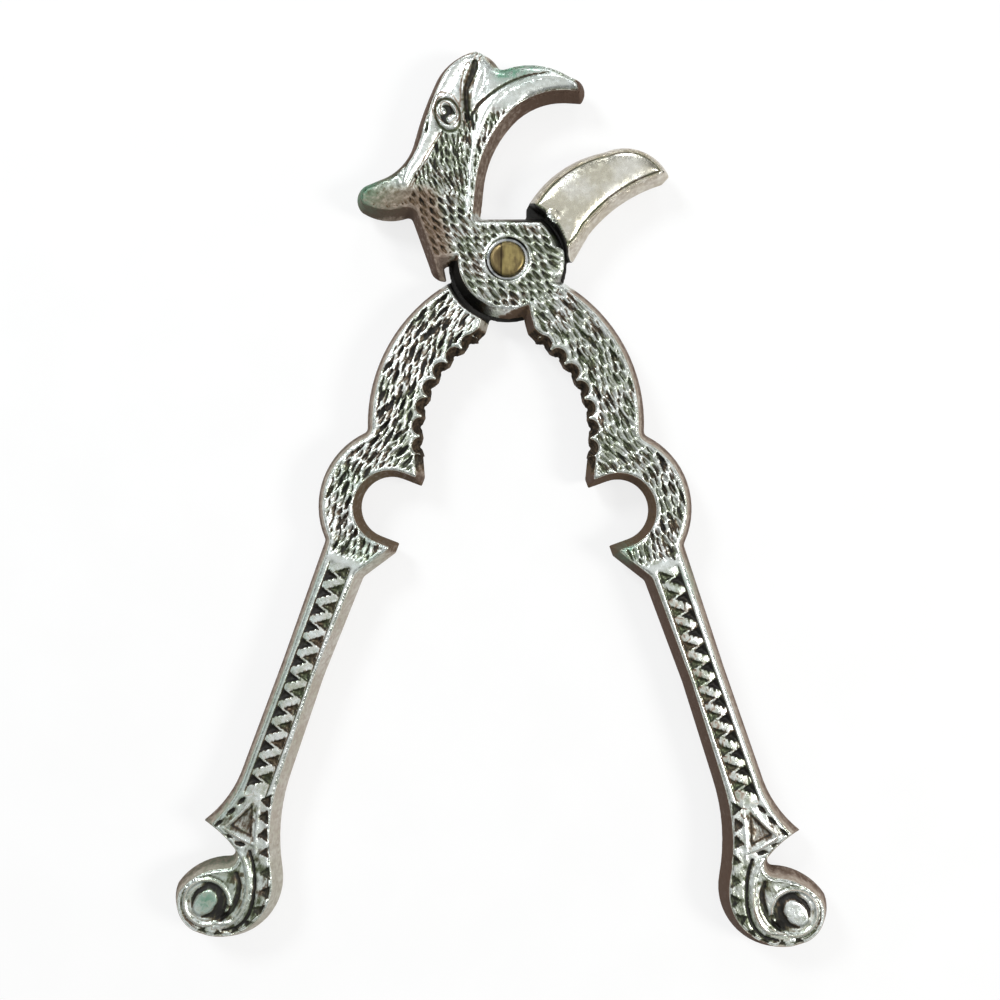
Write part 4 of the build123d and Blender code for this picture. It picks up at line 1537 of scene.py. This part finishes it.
@dataclass(frozen=True)
class PaleFloor:
    """A matt pale floor that shows almost white and keeps a soft shadow."""

    paint: Colour = (0.86, 0.86, 0.85, 1.0)
    worn: Colour = (0.90, 0.90, 0.895, 1.0)
    glow_share: float = 0.78

    def build(self) -> bpy.types.Material:
        """Return the material."""
        sheet = Sheet("pale_floor")
        tree = sheet.tree
        matt = tree.nodes.new("ShaderNodeBsdfDiffuse")
        colour = sheet.mix(sheet.ramp(sheet.noise(60.0, 3.0), 0.3, 0.7), self.paint, self.worn)
        tree.links.new(colour, matt.inputs["Color"])
        glow = tree.nodes.new("ShaderNodeEmission")
        glow.inputs["Color"].default_value = (1.0, 1.0, 1.0, 1.0)
        rays = tree.nodes.new("ShaderNodeLightPath")
        seen = sheet.math("MAXIMUM", rays.outputs["Is Camera Ray"], rays.outputs["Is Glossy Ray"])
        seen = sheet.math("MAXIMUM", seen, rays.outputs["Is Transmission Ray"])
        both = tree.nodes.new("ShaderNodeMixShader")
        tree.links.new(sheet.math("MULTIPLY", seen, self.glow_share), both.inputs[0])
        tree.links.new(matt.outputs[0], both.inputs[1])
        tree.links.new(glow.outputs[0], both.inputs[2])
        tree.links.new(both.outputs[0], sheet.output.inputs["Surface"])
        return sheet.material


@dataclass
class Studio:
    """The floor, the lamps, the world and the camera straight above."""

    view_middle: tuple[float, float, float] = (-1.4, -43.6, 4.5)
    view_width: float = 184.1
    view_distance: float = 240.0
    view_lean: float = 1.0
    sensor: float = 36.0
    floor_reach: float = 1.2
    floor_gap: float = 0.05
    world_strength: float = 0.85
    sky: tuple[tuple[float, float], ...] = (
        (0.0, 0.80),
        (0.10, 0.42),
        (0.35, 0.24),
        (0.62, 0.30),
        (0.84, 0.66),
        (1.0, 0.82),
    )
    lamps: tuple[tuple[str, tuple[float, float, float], float, float, tuple[float, float, float]], ...] = (
        ("key", (-0.34, 0.34, 0.52), 0.20, 2.6, (0.93, 0.97, 1.0)),
        ("fill", (0.44, -0.12, 0.46), 0.18, 2.0, (1.0, 0.99, 0.96)),
        ("back", (0.10, 0.60, 0.30), 0.22, 0.7, (0.96, 0.98, 1.0)),
    )

    def build(self) -> None:
        """Set up all of it."""
        self._floor()
        self._world()
        self._lamps()
        self._camera()
        bpy.context.scene.view_settings.view_transform = "Standard"

    def _floor(self) -> None:
        """Lay the floor just under the cutter's back faces."""
        shape = bmesh.new()
        bmesh.ops.create_grid(shape, x_segments=2, y_segments=2, size=self.floor_reach)
        bmesh.ops.translate(shape, verts=shape.verts, vec=(0.0, 0.0, -self.floor_gap * MILLIMETRE))
        mesh = bpy.data.meshes.new("floor")
        shape.to_mesh(mesh)
        shape.free()
        mesh.materials.append(PaleFloor().build())
        floor = bpy.data.objects.new("floor", mesh)
        bpy.context.scene.collection.objects.link(floor)

    def _world(self) -> None:
        """Light everything softly: pale at the horizon and overhead, darker between."""
        world = bpy.data.worlds.new("studio")
        bpy.context.scene.world = world
        world.use_nodes = True
        tree = world.node_tree
        tree.nodes.clear()
        output = tree.nodes.new("ShaderNodeOutputWorld")
        place = tree.nodes.new("ShaderNodeTexCoord")
        split = tree.nodes.new("ShaderNodeSeparateXYZ")
        tree.links.new(place.outputs["Generated"], split.inputs[0])
        ramp = tree.nodes.new("ShaderNodeValToRGB")
        for index, (height, level) in enumerate(self.sky):
            stops = ramp.color_ramp.elements
            stop = stops[index] if index < 2 else stops.new(height)
            stop.position = height
            stop.color = (level, level, level, 1.0)
        tree.links.new(split.outputs["Z"], ramp.inputs["Fac"])
        sky = tree.nodes.new("ShaderNodeBackground")
        sky.inputs["Strength"].default_value = self.world_strength
        tree.links.new(ramp.outputs["Color"], sky.inputs["Color"])
        tree.links.new(sky.outputs[0], output.inputs["Surface"])

    def _lamps(self) -> None:
        """Hang the soft lamps, each turned to the cutter."""
        middle = Vector(self.view_middle) * MILLIMETRE
        for name, place, size, power, tint in self.lamps:
            lamp = bpy.data.lights.new(name, "AREA")
            lamp.shape = "DISK"
            lamp.size = size
            lamp.energy = power
            lamp.color = tint
            holder = bpy.data.objects.new(name, lamp)
            holder.location = place
            holder.rotation_euler = (middle - holder.location).to_track_quat("-Z", "Y").to_euler()
            bpy.context.scene.collection.objects.link(holder)

    def _camera(self) -> None:
        """Look down on the cutter, leaning a little to the right."""
        lens = bpy.data.cameras.new("camera")
        lens.sensor_width = self.sensor
        lens.lens = self.sensor * self.view_distance / self.view_width
        lens.clip_start, lens.clip_end = 0.01, 10.0
        camera = bpy.data.objects.new("camera", lens)
        lean = math.radians(self.view_lean)
        back = Vector((math.sin(lean), 0.0, math.cos(lean)))
        camera.location = (Vector(self.view_middle) + back * self.view_distance) * MILLIMETRE
        camera.rotation_euler = (0.0, lean, 0.0)
        bpy.context.scene.collection.objects.link(camera)
        bpy.context.scene.camera = camera


def main() -> None:
    """Build the cutter's pieces in order, then the studio."""
    logging.basicConfig(level=logging.INFO)
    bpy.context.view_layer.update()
    silver = AntiqueSilver().build()
    steel = TurnedSteel().build()
    brass = DullBrass().build()
    for part, finish in (
        (FrontLever(), silver),
        (RearLever(), silver),
        (Rivet(), brass),
        (Washer("front_washer", 8.1, 8.6), steel),
        (Washer("back_washer", 0.7, 1.2), steel),
    ):
        piece = part.build(finish)
        log.info("%s: %d faces", piece.name, len(piece.data.polygons))
    Studio().build()


if __name__ == "__main__":
    main()
